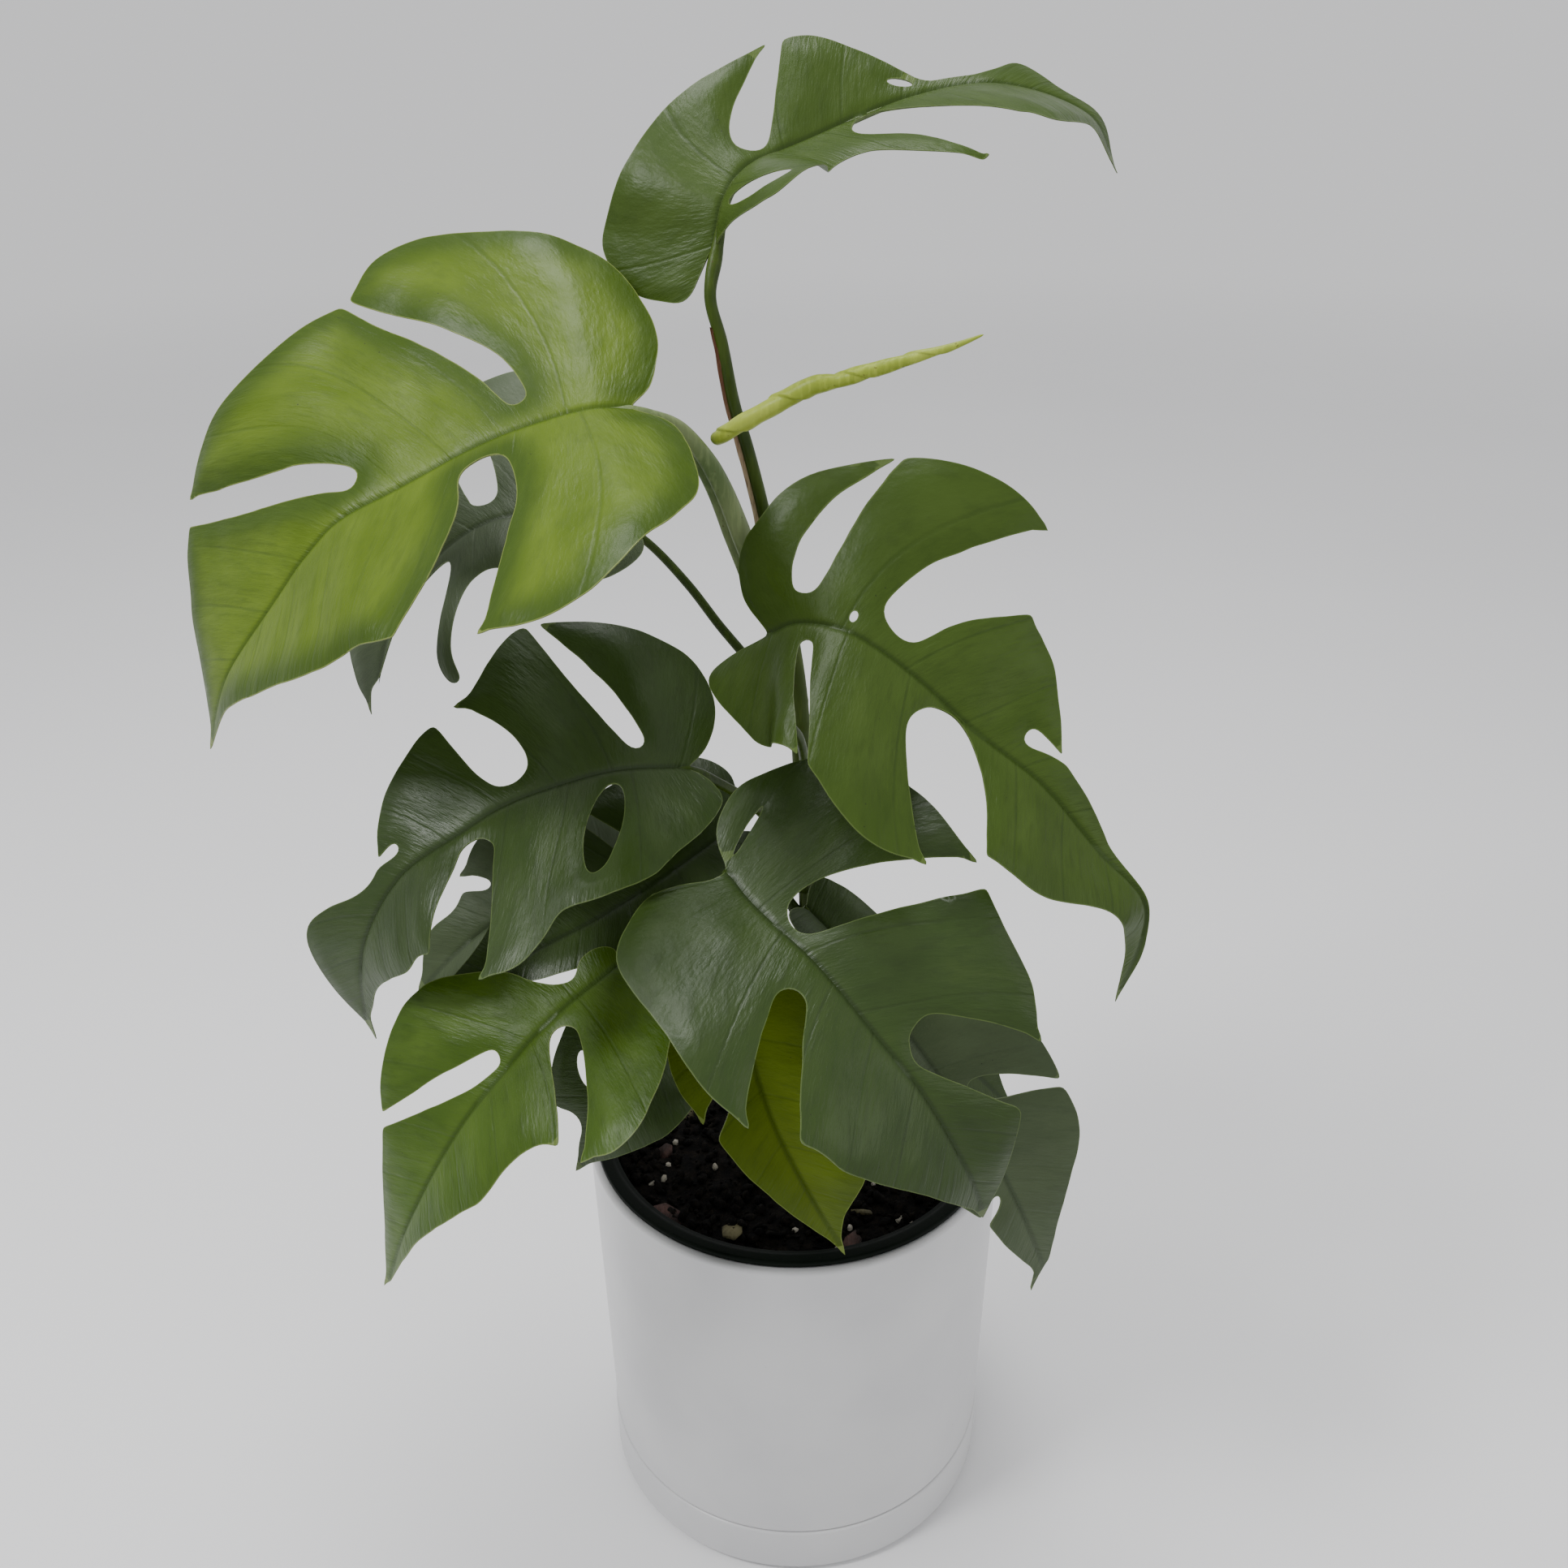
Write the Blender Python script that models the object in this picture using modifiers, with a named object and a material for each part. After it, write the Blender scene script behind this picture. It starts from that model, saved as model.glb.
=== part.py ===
"""A potted mini monstera: split leaves on long stalks, growing from one stem in a plastic nursery pot,
which hangs by its lip in a white glazed planter on a matching saucer.

The origin is the centre of the saucer's underside, +Z is up and +X is to the right seen from the front.
Every table is in millimetres and degrees. MM turns them into metres when a mesh is made.
"""

import math

import bmesh
import bpy
import numpy as np
from mathutils import Vector
from mathutils.geometry import delaunay_2d_cdt

MM = 0.001
GAP = 0.3  # clearance between neighbouring pieces

# Holder
RIM_HEIGHT = 156.0
RIM_RADIUS = 77.6
SEAM_HEIGHT = 21.5
SEAM_RADIUS = 75.2
SAUCER_RADIUS = 75.7
SAUCER_FLOOR = 4.5
FOOT_PLAY = 0.8  # room round the planter's foot inside the saucer
CERAMIC_WALL = 4.2
PLASTIC_WALL = 1.4
LIP_RADIUS = 75.2
LIP_HEIGHT = 2.4
NURSERY_TOP_RADIUS = 70.0
NURSERY_BASE_RADIUS = 54.0
NURSERY_BASE_HEIGHT = 34.0
DRAIN_RADIUS = 5.0
DRAIN_CIRCLE = 34.0
DRAIN_COUNT = 6
PLANTER_DRAIN_RADIUS = 9.0
SOIL_HEIGHT = 145.0
SOIL_RISE = 2.0  # how much higher the soil stands in the middle than near the wall
TURN_STEPS = 40

# Plant
BLADE_THICKNESS = 0.8
EDGE_STEP = 7.0  # spacing of the points along a blade's edge
GRID_STEP = 11.0  # spacing of the points inside a blade
STEM_RADIUS = 3.6
STALK_RADIUS = 1.6
STALK_TAPER = (1.2, 1.0, 0.85)  # times the stalk's radius, from the stem to the blade
SHEATH_RADII = (4.0, 4.4, 3.6, 1.9)
NEW_LEAF_RADII = (2.4, 2.6, 2.4, 1.6, 0.6)
CUT_ROOT_SHARE = 0.38  # half width of a split near its root, as a share of its full width


def colour_material(name, colour, roughness, coat=0.0):
    """A Principled material with one colour."""
    material = bpy.data.materials.new(name)
    material.use_nodes = True
    shader = material.node_tree.nodes["Principled BSDF"]
    shader.inputs["Base Color"].default_value = (*colour, 1.0)
    shader.inputs["Roughness"].default_value = roughness
    shader.inputs["Metallic"].default_value = 0.0
    shader.inputs["Coat Weight"].default_value = coat
    material.diffuse_color = (*colour, 1.0)
    return material


def place_object(name, mesh, material, collection):
    obj = bpy.data.objects.new(name, mesh)
    if material:
        mesh.materials.append(material)
    collection.objects.link(obj)
    return obj


# ---------------------------------------------------------------- turned pieces


def turned(name, profile, material, collection):
    """A body of revolution: the profile's (radius, height) points run down the outside, then back up inside."""
    mesh = bpy.data.meshes.new(name)
    points = [(r * MM, 0.0, z * MM) for r, z in profile]
    mesh.from_pydata(points, [(i, i + 1) for i in range(len(points) - 1)], [])
    obj = place_object(name, mesh, material, collection)
    screw = obj.modifiers.new("turn", "SCREW")
    screw.steps = TURN_STEPS
    screw.render_steps = TURN_STEPS
    screw.use_merge_vertices = True
    screw.merge_threshold = 0.00005
    screw.use_smooth_shade = True
    return obj


def drill(target, name, radius, places, low, high, cutters):
    """Cuts a round hole through the target, from height low to height high, at each (x, y) of places."""
    mesh = bpy.data.meshes.new(name)
    shape = bmesh.new()
    for x, y in places:
        made = bmesh.ops.create_cone(
            shape, cap_ends=True, segments=16, radius1=radius * MM, radius2=radius * MM,
            depth=(high - low) * MM,
        )
        shift = Vector((x * MM, y * MM, (low + high) / 2 * MM))
        bmesh.ops.translate(shape, verts=made["verts"], vec=shift)
    shape.to_mesh(mesh)
    shape.free()
    cutter = place_object(name, mesh, None, cutters)
    cutter.hide_render = True
    cutter.display_type = "WIRE"
    cut = target.modifiers.new(name, "BOOLEAN")
    cut.operation = "DIFFERENCE"
    cut.solver = "EXACT"
    cut.object = cutter


def make_saucer(material, collection):
    """A shallow dish with an upright wall. The planter's foot stands on its floor."""
    inner = SAUCER_RADIUS - CERAMIC_WALL
    floor = SAUCER_FLOOR
    profile = [
        (inner + 0.6, SEAM_HEIGHT), (SAUCER_RADIUS - 0.8, SEAM_HEIGHT), (SAUCER_RADIUS, SEAM_HEIGHT - 0.8),
        (SAUCER_RADIUS, 1.2), (SAUCER_RADIUS - 1.2, 0.0), (0.0, 0.0),
    ]
    profile += [(0.0, floor), (inner - 2.0, floor), (inner, floor + 2.0), (inner, SEAM_HEIGHT - 0.6)]
    return turned("saucer", profile + profile[:1], material, collection)


def make_planter(material, collection, cutters):
    """A straight cylinder, a little wider at the rim, whose recessed foot nests in the saucer."""
    foot = SAUCER_RADIUS - CERAMIC_WALL - FOOT_PLAY
    bottom = SAUCER_FLOOR + GAP
    step = SEAM_HEIGHT + GAP
    floor = bottom + CERAMIC_WALL
    profile = [
        (RIM_RADIUS - 1.0, RIM_HEIGHT), (RIM_RADIUS, RIM_HEIGHT - 1.0), (SEAM_RADIUS, step + 0.8),
        (SEAM_RADIUS - 0.8, step), (foot, step), (foot, bottom + 2.6), (foot - 2.6, bottom), (0.0, bottom),
        (0.0, floor), (foot - 7.0, floor), (foot - CERAMIC_WALL, floor + 3.0),
        (RIM_RADIUS - CERAMIC_WALL, RIM_HEIGHT - 1.0), (RIM_RADIUS - CERAMIC_WALL + 1.0, RIM_HEIGHT),
    ]
    planter = turned("planter", profile + profile[:1], material, collection)
    drill(planter, "planter_drain_cutter", PLANTER_DRAIN_RADIUS, [(0, 0)], bottom - 2, floor + 2, cutters)
    return planter


def make_nursery_pot(material, collection, cutters):
    """A thin tapered pot. Its rolled lip lies on the planter's rim, and its floor has a ring of holes."""
    top = NURSERY_TOP_RADIUS
    base = NURSERY_BASE_RADIUS
    low = NURSERY_BASE_HEIGHT
    seat = RIM_HEIGHT + GAP
    profile = [
        (top, seat + LIP_HEIGHT), (LIP_RADIUS - 1.0, seat + LIP_HEIGHT), (LIP_RADIUS, seat + LIP_HEIGHT - 1.0),
        (LIP_RADIUS, seat + 0.4), (LIP_RADIUS - 0.4, seat), (top + 0.6, seat), (top, seat - 1.0),
        (base + 2.0, low + 2.0), (base, low), (0.0, low), (0.0, low + PLASTIC_WALL),
        (base - 0.4, low + PLASTIC_WALL), (top - PLASTIC_WALL, seat), (top - PLASTIC_WALL + 0.4, seat + LIP_HEIGHT - 0.4),
    ]
    pot = turned("nursery_pot", profile + profile[:1], material, collection)
    turns = [2 * math.pi * i / DRAIN_COUNT for i in range(DRAIN_COUNT)]
    places = [(DRAIN_CIRCLE * math.cos(a), DRAIN_CIRCLE * math.sin(a)) for a in turns]
    drill(pot, "nursery_drain_cutter", DRAIN_RADIUS, places, low - 2, low + 4, cutters)
    return pot


def make_soil(material, collection, cutters, stem_foot):
    """The block of potting mix that fills the nursery pot, with a socket for the stem."""
    low = NURSERY_BASE_HEIGHT + PLASTIC_WALL + GAP
    slope = (NURSERY_TOP_RADIUS - NURSERY_BASE_RADIUS) / (RIM_HEIGHT - NURSERY_BASE_HEIGHT)
    clear = PLASTIC_WALL + 2 * GAP

    def wall(z):
        return NURSERY_BASE_RADIUS + slope * (z - NURSERY_BASE_HEIGHT) - clear

    profile = [
        (0.0, SOIL_HEIGHT + SOIL_RISE), (25.0, SOIL_HEIGHT + 0.8 * SOIL_RISE), (50.0, SOIL_HEIGHT + 0.3 * SOIL_RISE),
        (wall(SOIL_HEIGHT) - 2.0, SOIL_HEIGHT - 0.6), (wall(SOIL_HEIGHT), SOIL_HEIGHT - 2.4),
        (wall(low + 2.0) - 0.6, low + 2.0), (wall(low) - 2.6, low), (0.0, low),
    ]
    soil = turned("soil", profile, material, collection)
    socket = STEM_RADIUS + 2 * GAP
    drill(soil, "stem_socket_cutter", socket, [stem_foot[:2]], stem_foot[2] - 1.0, SOIL_HEIGHT + 6, cutters)
    return soil


# ---------------------------------------------------------------- stem and stalks


def smooth_path(points, step):
    """Points about step apart along a smooth curve through the given points."""
    points = np.asarray(points, float)
    ends = np.vstack([2 * points[0] - points[1], points, 2 * points[-1] - points[-2]])
    pieces = []
    for a, b, c, d in zip(ends, ends[1:], ends[2:], ends[3:]):
        count = max(2, int(np.linalg.norm(c - b) / step) + 1)
        t = np.linspace(0, 1, count, endpoint=False)[:, None]
        curve = 2 * b + (c - a) * t + (2 * a - 5 * b + 4 * c - d) * t**2 + (3 * b - a - 3 * c + d) * t**3
        pieces.append(curve / 2)
    return np.vstack([*pieces, points[-1:]])


def tube(name, route, radii, material, collection, step=14.0):
    """A round stalk along a smooth route. Its radius runs evenly through the values of radii."""
    path = smooth_path(route, step)
    along = np.linspace(0, 1, len(path))
    thick = np.interp(along, np.linspace(0, 1, len(radii)), radii)
    curve = bpy.data.curves.new(name, "CURVE")
    curve.dimensions = "3D"
    curve.bevel_depth = MM
    curve.bevel_resolution = 2
    curve.use_fill_caps = True
    spline = curve.splines.new("POLY")
    spline.points.add(len(path) - 1)
    for point, place, radius in zip(spline.points, path, thick):
        point.co = (*(place * MM), 1.0)
        point.radius = radius
    return place_object(name, curve, material, collection)


# ---------------------------------------------------------------- leaves


class Rib:
    """The bent frame that a flat blade is laid on.

    The midrib follows a smooth curve. Each half of the blade rises from it by an angle that runs
    from the first fold value at the base to the second at the tip, and then curls by the left or
    the right curl, in degrees for every 100 mm of width. Left and right are seen from the stalk,
    upper face up.
    """

    def __init__(self, points, faces, fold, curl):
        path = smooth_path(points, 2.0)
        steps = np.linalg.norm(np.diff(path, axis=0), axis=1)
        travelled = np.concatenate([[0], np.cumsum(steps)])
        self.length = travelled[-1]
        self.at = np.linspace(0, self.length, 80)
        self.path = np.stack([np.interp(self.at, travelled, path[:, k]) for k in range(3)], 1)
        self.along = self.unit(self.rounded(np.gradient(self.path, self.at, axis=0)))
        faces = self.unit(np.asarray(faces, float))
        knots = np.linspace(0, self.length, len(faces))
        up = np.stack([np.interp(self.at, knots, faces[:, k]) for k in range(3)], 1)
        up -= (up * self.along).sum(1, keepdims=True) * self.along
        self.up = self.unit(up)
        self.fold = np.radians(fold)
        self.curl = np.radians(curl) / 100

    @staticmethod
    def unit(vectors):
        return vectors / np.linalg.norm(vectors, axis=1, keepdims=True)

    @staticmethod
    def rounded(values, reach=4):
        """The running mean over 2 * reach + 1 rows."""
        padded = np.pad(values, ((reach, reach), (0, 0)), mode="edge")
        return sum(padded[i : i + len(values)] for i in range(2 * reach + 1)) / (2 * reach + 1)

    def lay(self, flat):
        """The bent places of flat (x across, y along) points."""
        x, y = flat[:, 0], flat[:, 1]
        held = np.clip(y, 0, self.length)

        def read(table):
            return np.stack([np.interp(held, self.at, table[:, k]) for k in range(3)], 1)

        along = self.unit(read(self.along))
        up = read(self.up)
        up = self.unit(up - (up * along).sum(1, keepdims=True) * along)
        side = np.where(x > 0, 1.0, -1.0)
        half = (x > 0).astype(int)
        reached = np.clip(y / self.length, 0, 1)
        start = self.fold[0] * (1 - reached) + self.fold[1] * reached
        bend = np.where(np.abs(self.curl[half]) < 1e-6, 1e-6, self.curl[half])
        end = start + bend * np.abs(x)
        out = side * (np.sin(end) - np.sin(start)) / bend
        rise = (np.cos(start) - np.cos(end)) / bend
        place = read(self.path) + (y - held)[:, None] * along
        return place + out[:, None] * np.cross(along, up) + rise[:, None] * up


def cut_edge(root, bend, mouth, wide, mouth_wide):
    """The edge of one split: a round root, a middle that is wide across, and an open mouth."""
    root, bend, mouth = (np.asarray(p, float) for p in (root, bend, mouth))
    way = mouth - bend
    across = np.array([-way[1], way[0]]) / np.linalg.norm(way)
    start = bend - root
    start /= np.linalg.norm(start)
    first = np.array([-start[1], start[0]])
    middle = (across + first) / np.linalg.norm(across + first)
    beyond = mouth + 8 * way / np.linalg.norm(way)
    left = [root - 0.2 * wide * start, root + CUT_ROOT_SHARE * wide * first, bend + 0.5 * wide * middle,
            mouth + 0.5 * mouth_wide * across, beyond + 0.5 * mouth_wide * across]
    right = [beyond - 0.5 * mouth_wide * across, mouth - 0.5 * mouth_wide * across,
             bend - 0.5 * wide * middle, root - CUT_ROOT_SHARE * wide * first, root - 0.2 * wide * start]
    return np.vstack([smooth_path(left, EDGE_STEP)[:-1], smooth_path(right, EDGE_STEP)[:-1]])


def hole_edge(centre, length, width, turn):
    """An oval hole whose long axis is turned from the across direction."""
    a = np.linspace(0, 2 * np.pi, 12, endpoint=False)
    t = math.radians(turn)
    x = length / 2 * np.cos(a)
    y = width / 2 * np.sin(a)
    return np.stack([centre[0] + x * math.cos(t) - y * math.sin(t),
                     centre[1] + x * math.sin(t) + y * math.cos(t)], 1)


def blade_edge(left, right, tip):
    """The uncut outline: from the stalk along the left edge to the tip, and back along the right."""
    base = (0.0, 0.0)
    up = smooth_path([base, *left, (0.0, tip)], EDGE_STEP)
    down = smooth_path([(0.0, tip), *reversed(right), base], EDGE_STEP)
    return np.vstack([up[:-1], down[:-1]])


def anticlockwise(loop):
    """The loop, turned to run anticlockwise."""
    x, y = loop[:, 0], loop[:, 1]
    area = np.sum(x * np.roll(y, -1) - np.roll(x, -1) * y)
    return loop if area > 0 else loop[::-1]


def flat_blade(spec, tip):
    """The flat triangles of a blade: its outline, less its splits and holes, with points spread inside."""
    loops = [blade_edge(spec["left"], spec["right"], tip)]
    loops += [cut_edge(*cut) for cut in spec.get("cuts", [])]
    loops += [hole_edge(*hole) for hole in spec.get("holes", [])]
    loops = [anticlockwise(loop) for loop in loops]
    edge = np.vstack(loops)
    low, high = loops[0].min(0), loops[0].max(0)
    rows = np.arange(low[1], high[1], GRID_STEP * 0.87)
    columns = np.arange(low[0], high[0], GRID_STEP)
    x, y = np.meshgrid(columns, rows)
    x = x + np.where(np.arange(len(rows)) % 2, GRID_STEP / 2, 0)[:, None]
    inner = np.stack([x.ravel(), y.ravel()], 1)
    rib = np.stack([np.zeros(40), np.linspace(4, tip - 4, 40)], 1)[:: max(1, int(GRID_STEP / 4))]
    inner = inner[np.abs(inner[:, 0]) > GRID_STEP * 0.45]
    inner = np.vstack([inner, rib])
    away = np.linalg.norm(inner[:, None] - edge[None], axis=2).min(1)
    inner = inner[away > GRID_STEP * 0.42]
    points = [Vector(p) for p in np.vstack([edge, inner])]
    faces, first = [], 0
    for loop in loops:
        faces.append(list(range(first, first + len(loop))))
        first += len(loop)
    found = delaunay_2d_cdt(points, [], faces, 0, 1e-4)
    kept = [face for face, inside in zip(found[2], found[5]) if 0 in inside and len(inside) == 1]
    return np.array([tuple(p) for p in found[0]]), kept


def make_blade(name, spec, material, collection):
    """A leaf blade: the flat shape laid on its rib and given its thickness."""
    rib = Rib(spec["rib"], spec["face"], spec["fold"], spec["curl"])
    flat, faces = flat_blade(spec, rib.length)
    used = sorted({i for face in faces for i in face})
    index = {old: new for new, old in enumerate(used)}
    places = rib.lay(flat[used]) * MM
    mesh = bpy.data.meshes.new(name)
    mesh.from_pydata(places.tolist(), [], [[index[i] for i in face] for face in faces])
    mesh.shade_smooth()
    obj = place_object(name, mesh, material, collection)
    wall = obj.modifiers.new("thickness", "SOLIDIFY")
    wall.thickness = BLADE_THICKNESS * MM
    wall.offset = 0.0
    return obj


# The flat shapes of the blades: the left and right edges from stalk to tip, then the splits as
# (root, bend, mouth, width, width at the mouth) and the holes as (centre, length, width, turn).
BLADE_TOP = {
    "left": [(-5, -16), (-14, -18), (-24, -16), (-33, -9), (-36, -2), (-34, 8), (-31, 18), (-30, 28),
             (-31, 44), (-31, 58), (-28, 66), (-21, 73), (-15, 78), (-9, 82.5), (-3.5, 88), (-3, 95),
             (-4, 103), (-7, 109), (-11, 114), (-9, 120), (-5, 130), (-5, 141), (-2, 150)],
    "right": [(11, 5), (25, 8), (34, 12), (34, 24), (27, 36), (21, 46), (20, 55), (23, 62), (31, 71),
              (40, 82), (50, 92), (44, 104), (30, 112), (32, 124), (16, 138), (4, 149)],
    "cuts": [((-5, 32), (-13, 38), (-33, 55), 11, 5), ((5, 64), (16, 78), (39, 102), 16, 26)],
    "holes": [((17, 14), 26, 7, 12), ((-5.2, 81), 8.5, 2.8, 60)],
}
BLADE_WIDE = {
    "left": [(-8, -10), (-24, -12), (-40, -9), (-56, 8), (-70, 22), (-73, 36), (-68, 50), (-56, 68), (-50, 86),
             (-41, 110), (-26, 131), (-11, 153)],
    "right": [(8, -8), (25, -13), (42, -10), (56, -2), (64, 12), (70, 28), (76, 42), (76, 55), (68, 66),
              (67, 78), (64, 92), (63, 108), (56, 124), (46, 138), (33, 150), (18, 160), (6, 170)],
    "cuts": [((-9, 43), (-28, 45), (-60, 64), 19, 28), ((10, 29), (30, 38), (66, 66), 8, 3),
             ((10, 81), (24, 98), (52, 132), 9, 9)],
}
BLADE_LONG = {
    "left": [(-5, -3), (-14, -6), (-25, -5), (-34, 3), (-45, 12), (-56, 24), (-62, 34), (-63, 44),
             (-58, 53), (-39, 63), (-35, 72), (-31, 81), (-20, 90), (-11, 97), (-9, 103), (-8, 111),
             (-5, 121), (-2, 134), (-1, 150), (-2, 168)],
    "right": [(1, -10), (4, -21), (9, -23), (18, -18), (28, -10), (36, -3), (41, 10), (43, 24), (45, 40),
              (50, 54), (52, 68), (47, 80), (34, 94), (31, 104), (28, 117), (20, 127), (14, 136),
              (12, 148), (5, 162), (2, 174)],
    "cuts": [((-10.5, 12), (-24, 14.5), (-56, 23), 7.5, 0.4), ((-10, 38), (-27, 44), (-50, 59), 17, 23),
             ((-9, 86), (-9, 88), (-10, 98), 6, 1.5), ((7, 15), (22, 20), (46, 38), 7, 3),
             ((7, 62), (18, 73), (40, 89), 23, 21)],
    "holes": [((-5, 26), 4, 2.6, 0)],
}
BLADE_LEFT = {
    "left": [(-3, -5), (-12, -9), (-22, -4), (-34, 9), (-42, 20), (-44, 36), (-44, 50), (-50, 62),
             (-53, 73), (-44, 85), (-30, 97), (-25, 103), (-23, 112), (-16, 122), (-8, 135), (-4, 146)],
    "right": [(5, -6), (16, -11), (28, -10), (38, -4), (46, 9), (52, 24), (54, 36), (46, 47), (36, 56),
              (34, 68), (28, 80), (20, 89), (10, 96), (7, 102), (9, 110), (17, 120), (22, 129), (18, 138),
              (10, 149)],
    "cuts": [((-8, 68), (-16, 73), (-38, 88), 14, 26), ((8, 14), (26, 22), (54, 33), 7, 3),
             ((8, 50.5), (17, 53), (37, 60), 14, 7), ((8, 90), (8, 92), (8.5, 99), 4, 1.5)],
    "holes": [((-20, 30), 34, 11, 153)],
}
BLADE_FRONT = {
    "left": [(-4, -12), (-16, -20), (-30, -18), (-42, -13), (-51, -2), (-56, 12), (-57, 28), (-54, 44),
             (-50, 56), (-48, 66), (-45, 79), (-38, 90), (-28, 100), (-21, 109), (-13, 119), (-6, 128)],
    "right": [(6, 0), (14, -3), (25, -4), (37, 2), (44, 9), (46, 22), (49, 38), (49, 52), (44, 64),
              (36, 74), (33, 84), (26, 95), (16, 107), (7, 120)],
    "cuts": [((-6, 25), (-19, 30), (-54, 49), 15, 8), ((-9, 73), (-14, 80), (-29, 99), 17, 20),
             ((12, 41.5), (21, 48), (42, 65), 11, 14)],
    "holes": [((-12, -7), 18, 2, 24)],
}
BLADE_LOW = {
    "left": [(-6, -10), (-20, -10), (-32, 2), (-42, 14), (-48, 28), (-47, 40), (-38, 46), (-28, 50),
             (-24, 60), (-23, 76), (-16, 90), (-9, 106), (-5, 120), (-2, 134)],
    "right": [(5, -2), (9, 3), (9, 9), (5.5, 13), (7, 18), (13, 22.5), (21, 26), (30, 33), (37, 41),
              (40, 54), (38, 66), (33, 78), (26, 88), (21, 98), (16, 110), (10, 124), (4, 138)],
    "cuts": [((-6, 26), (-16, 32), (-37, 46), 11, 7), ((5, 46), (11, 62), (26, 91), 8, 4)],
}

BLADE_BEHIND = {
    "left": [(-4, -8), (-15, -11), (-24, -2), (-27, 12), (-22, 30), (-18, 44), (-19, 55), (-25, 66),
             (-32, 74), (-40, 78), (-38, 84), (-30, 82), (-22, 72), (-13, 60), (-5, 55), (-3, 68),
             (-2, 90), (0, 104), (3, 110)],
    "right": [(6, -8), (20, -14), (34, -8), (46, 4), (54, 16), (54, 28), (48, 42), (43, 54), (38, 68),
              (30, 82), (22, 93), (16, 104), (9, 112)],
    "cuts": [((8, 37), (17, 36.5), (51, 40), 9, 8)],
}
BLADE_SIDE = {
    "left": [(-4, -8), (-12, -6), (-16, 4), (-20, 14), (-26, 23), (-32, 32), (-32, 41), (-30.5, 48),
             (-30, 57), (-26, 66), (-18, 76), (-11, 86), (-6, 96), (-3, 103)],
    "right": [(5, -10), (16, -8), (24, 4), (28, 20), (27, 36), (22, 51), (17, 62), (12.5, 72), (10, 84),
              (6, 96), (3, 104)],
    "cuts": [((-6, 33.5), (-13, 37.5), (-30, 47), 7.5, 2), ((5, 68), (8.5, 70), (14, 72), 4.5, 4)],
}
BLADE_OLIVE = {
    "left": [(-5, -8), (-15, -11), (-24, -2), (-27, 14), (-26, 30), (-28, 46), (-26, 62), (-20, 76),
             (-12, 84), (-6, 91), (-2, 99)],
    "right": [(5, -8), (12, -9), (19, -2), (25, 9), (26, 21), (24, 32), (20, 40), (17, 50), (14, 61),
              (11, 71), (8, 82), (4, 94)],
    "cuts": [((6, 30), (12, 36), (22, 45), 6, 7)],
}
BLADE_SHADE = {
    "left": [(-4, -6), (-13, -8), (-22, 2), (-26, 15), (-26, 30), (-24, 40), (-18, 50), (-12, 59), (-5, 68)],
    "right": [(4, -6), (13, -8), (22, 4), (25, 18), (27, 32), (24, 46), (18, 58), (10, 57), (5, 60), (3, 68)],
    "holes": [((13, 41), 14, 6, 138)],
}
BLADE_MIDDLE = {
    "left": [(-4, -8), (-13, -10), (-22, 0), (-27, 14), (-27, 30), (-22, 43), (-15, 52), (-12, 62),
             (-9, 74), (-4, 85)],
    "right": [(4, -10), (16, -16), (28, -10), (34, 4), (36, 20), (34, 36), (30, 50), (24, 62), (17, 76), (8, 90)],
    "cuts": [((-4, 29), (-10, 31), (-28, 34), 5, 5), ((5, 20), (14, 26), (36, 34), 6, 4)],
}
BLADE_BACK = {
    "left": [(-4, -6), (-13, -8), (-22, 2), (-26, 16), (-25, 32), (-21, 48), (-13, 62), (-5, 73)],
    "right": [(4, -6), (16, -12), (28, -4), (34, 10), (34, 24), (28, 38), (19, 46), (12, 53), (12, 66), (6, 75)],
    "cuts": [((12, 41), (15, 44), (20, 50), 5, 6)],
}
BLADE_INNER = {
    "left": [(-4, -4), (-11, -4), (-15, 8), (-16, 24), (-17, 42), (-17, 58), (-15, 74), (-11, 88), (-6, 97)],
    "right": [(3, -4), (7, -4), (9.5, 6), (10.5, 18), (11.5, 34), (16, 50), (17, 66), (14, 82), (8, 96)],
    "cuts": [((4, 48), (9, 53), (19, 60), 5, 4)],
}

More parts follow.
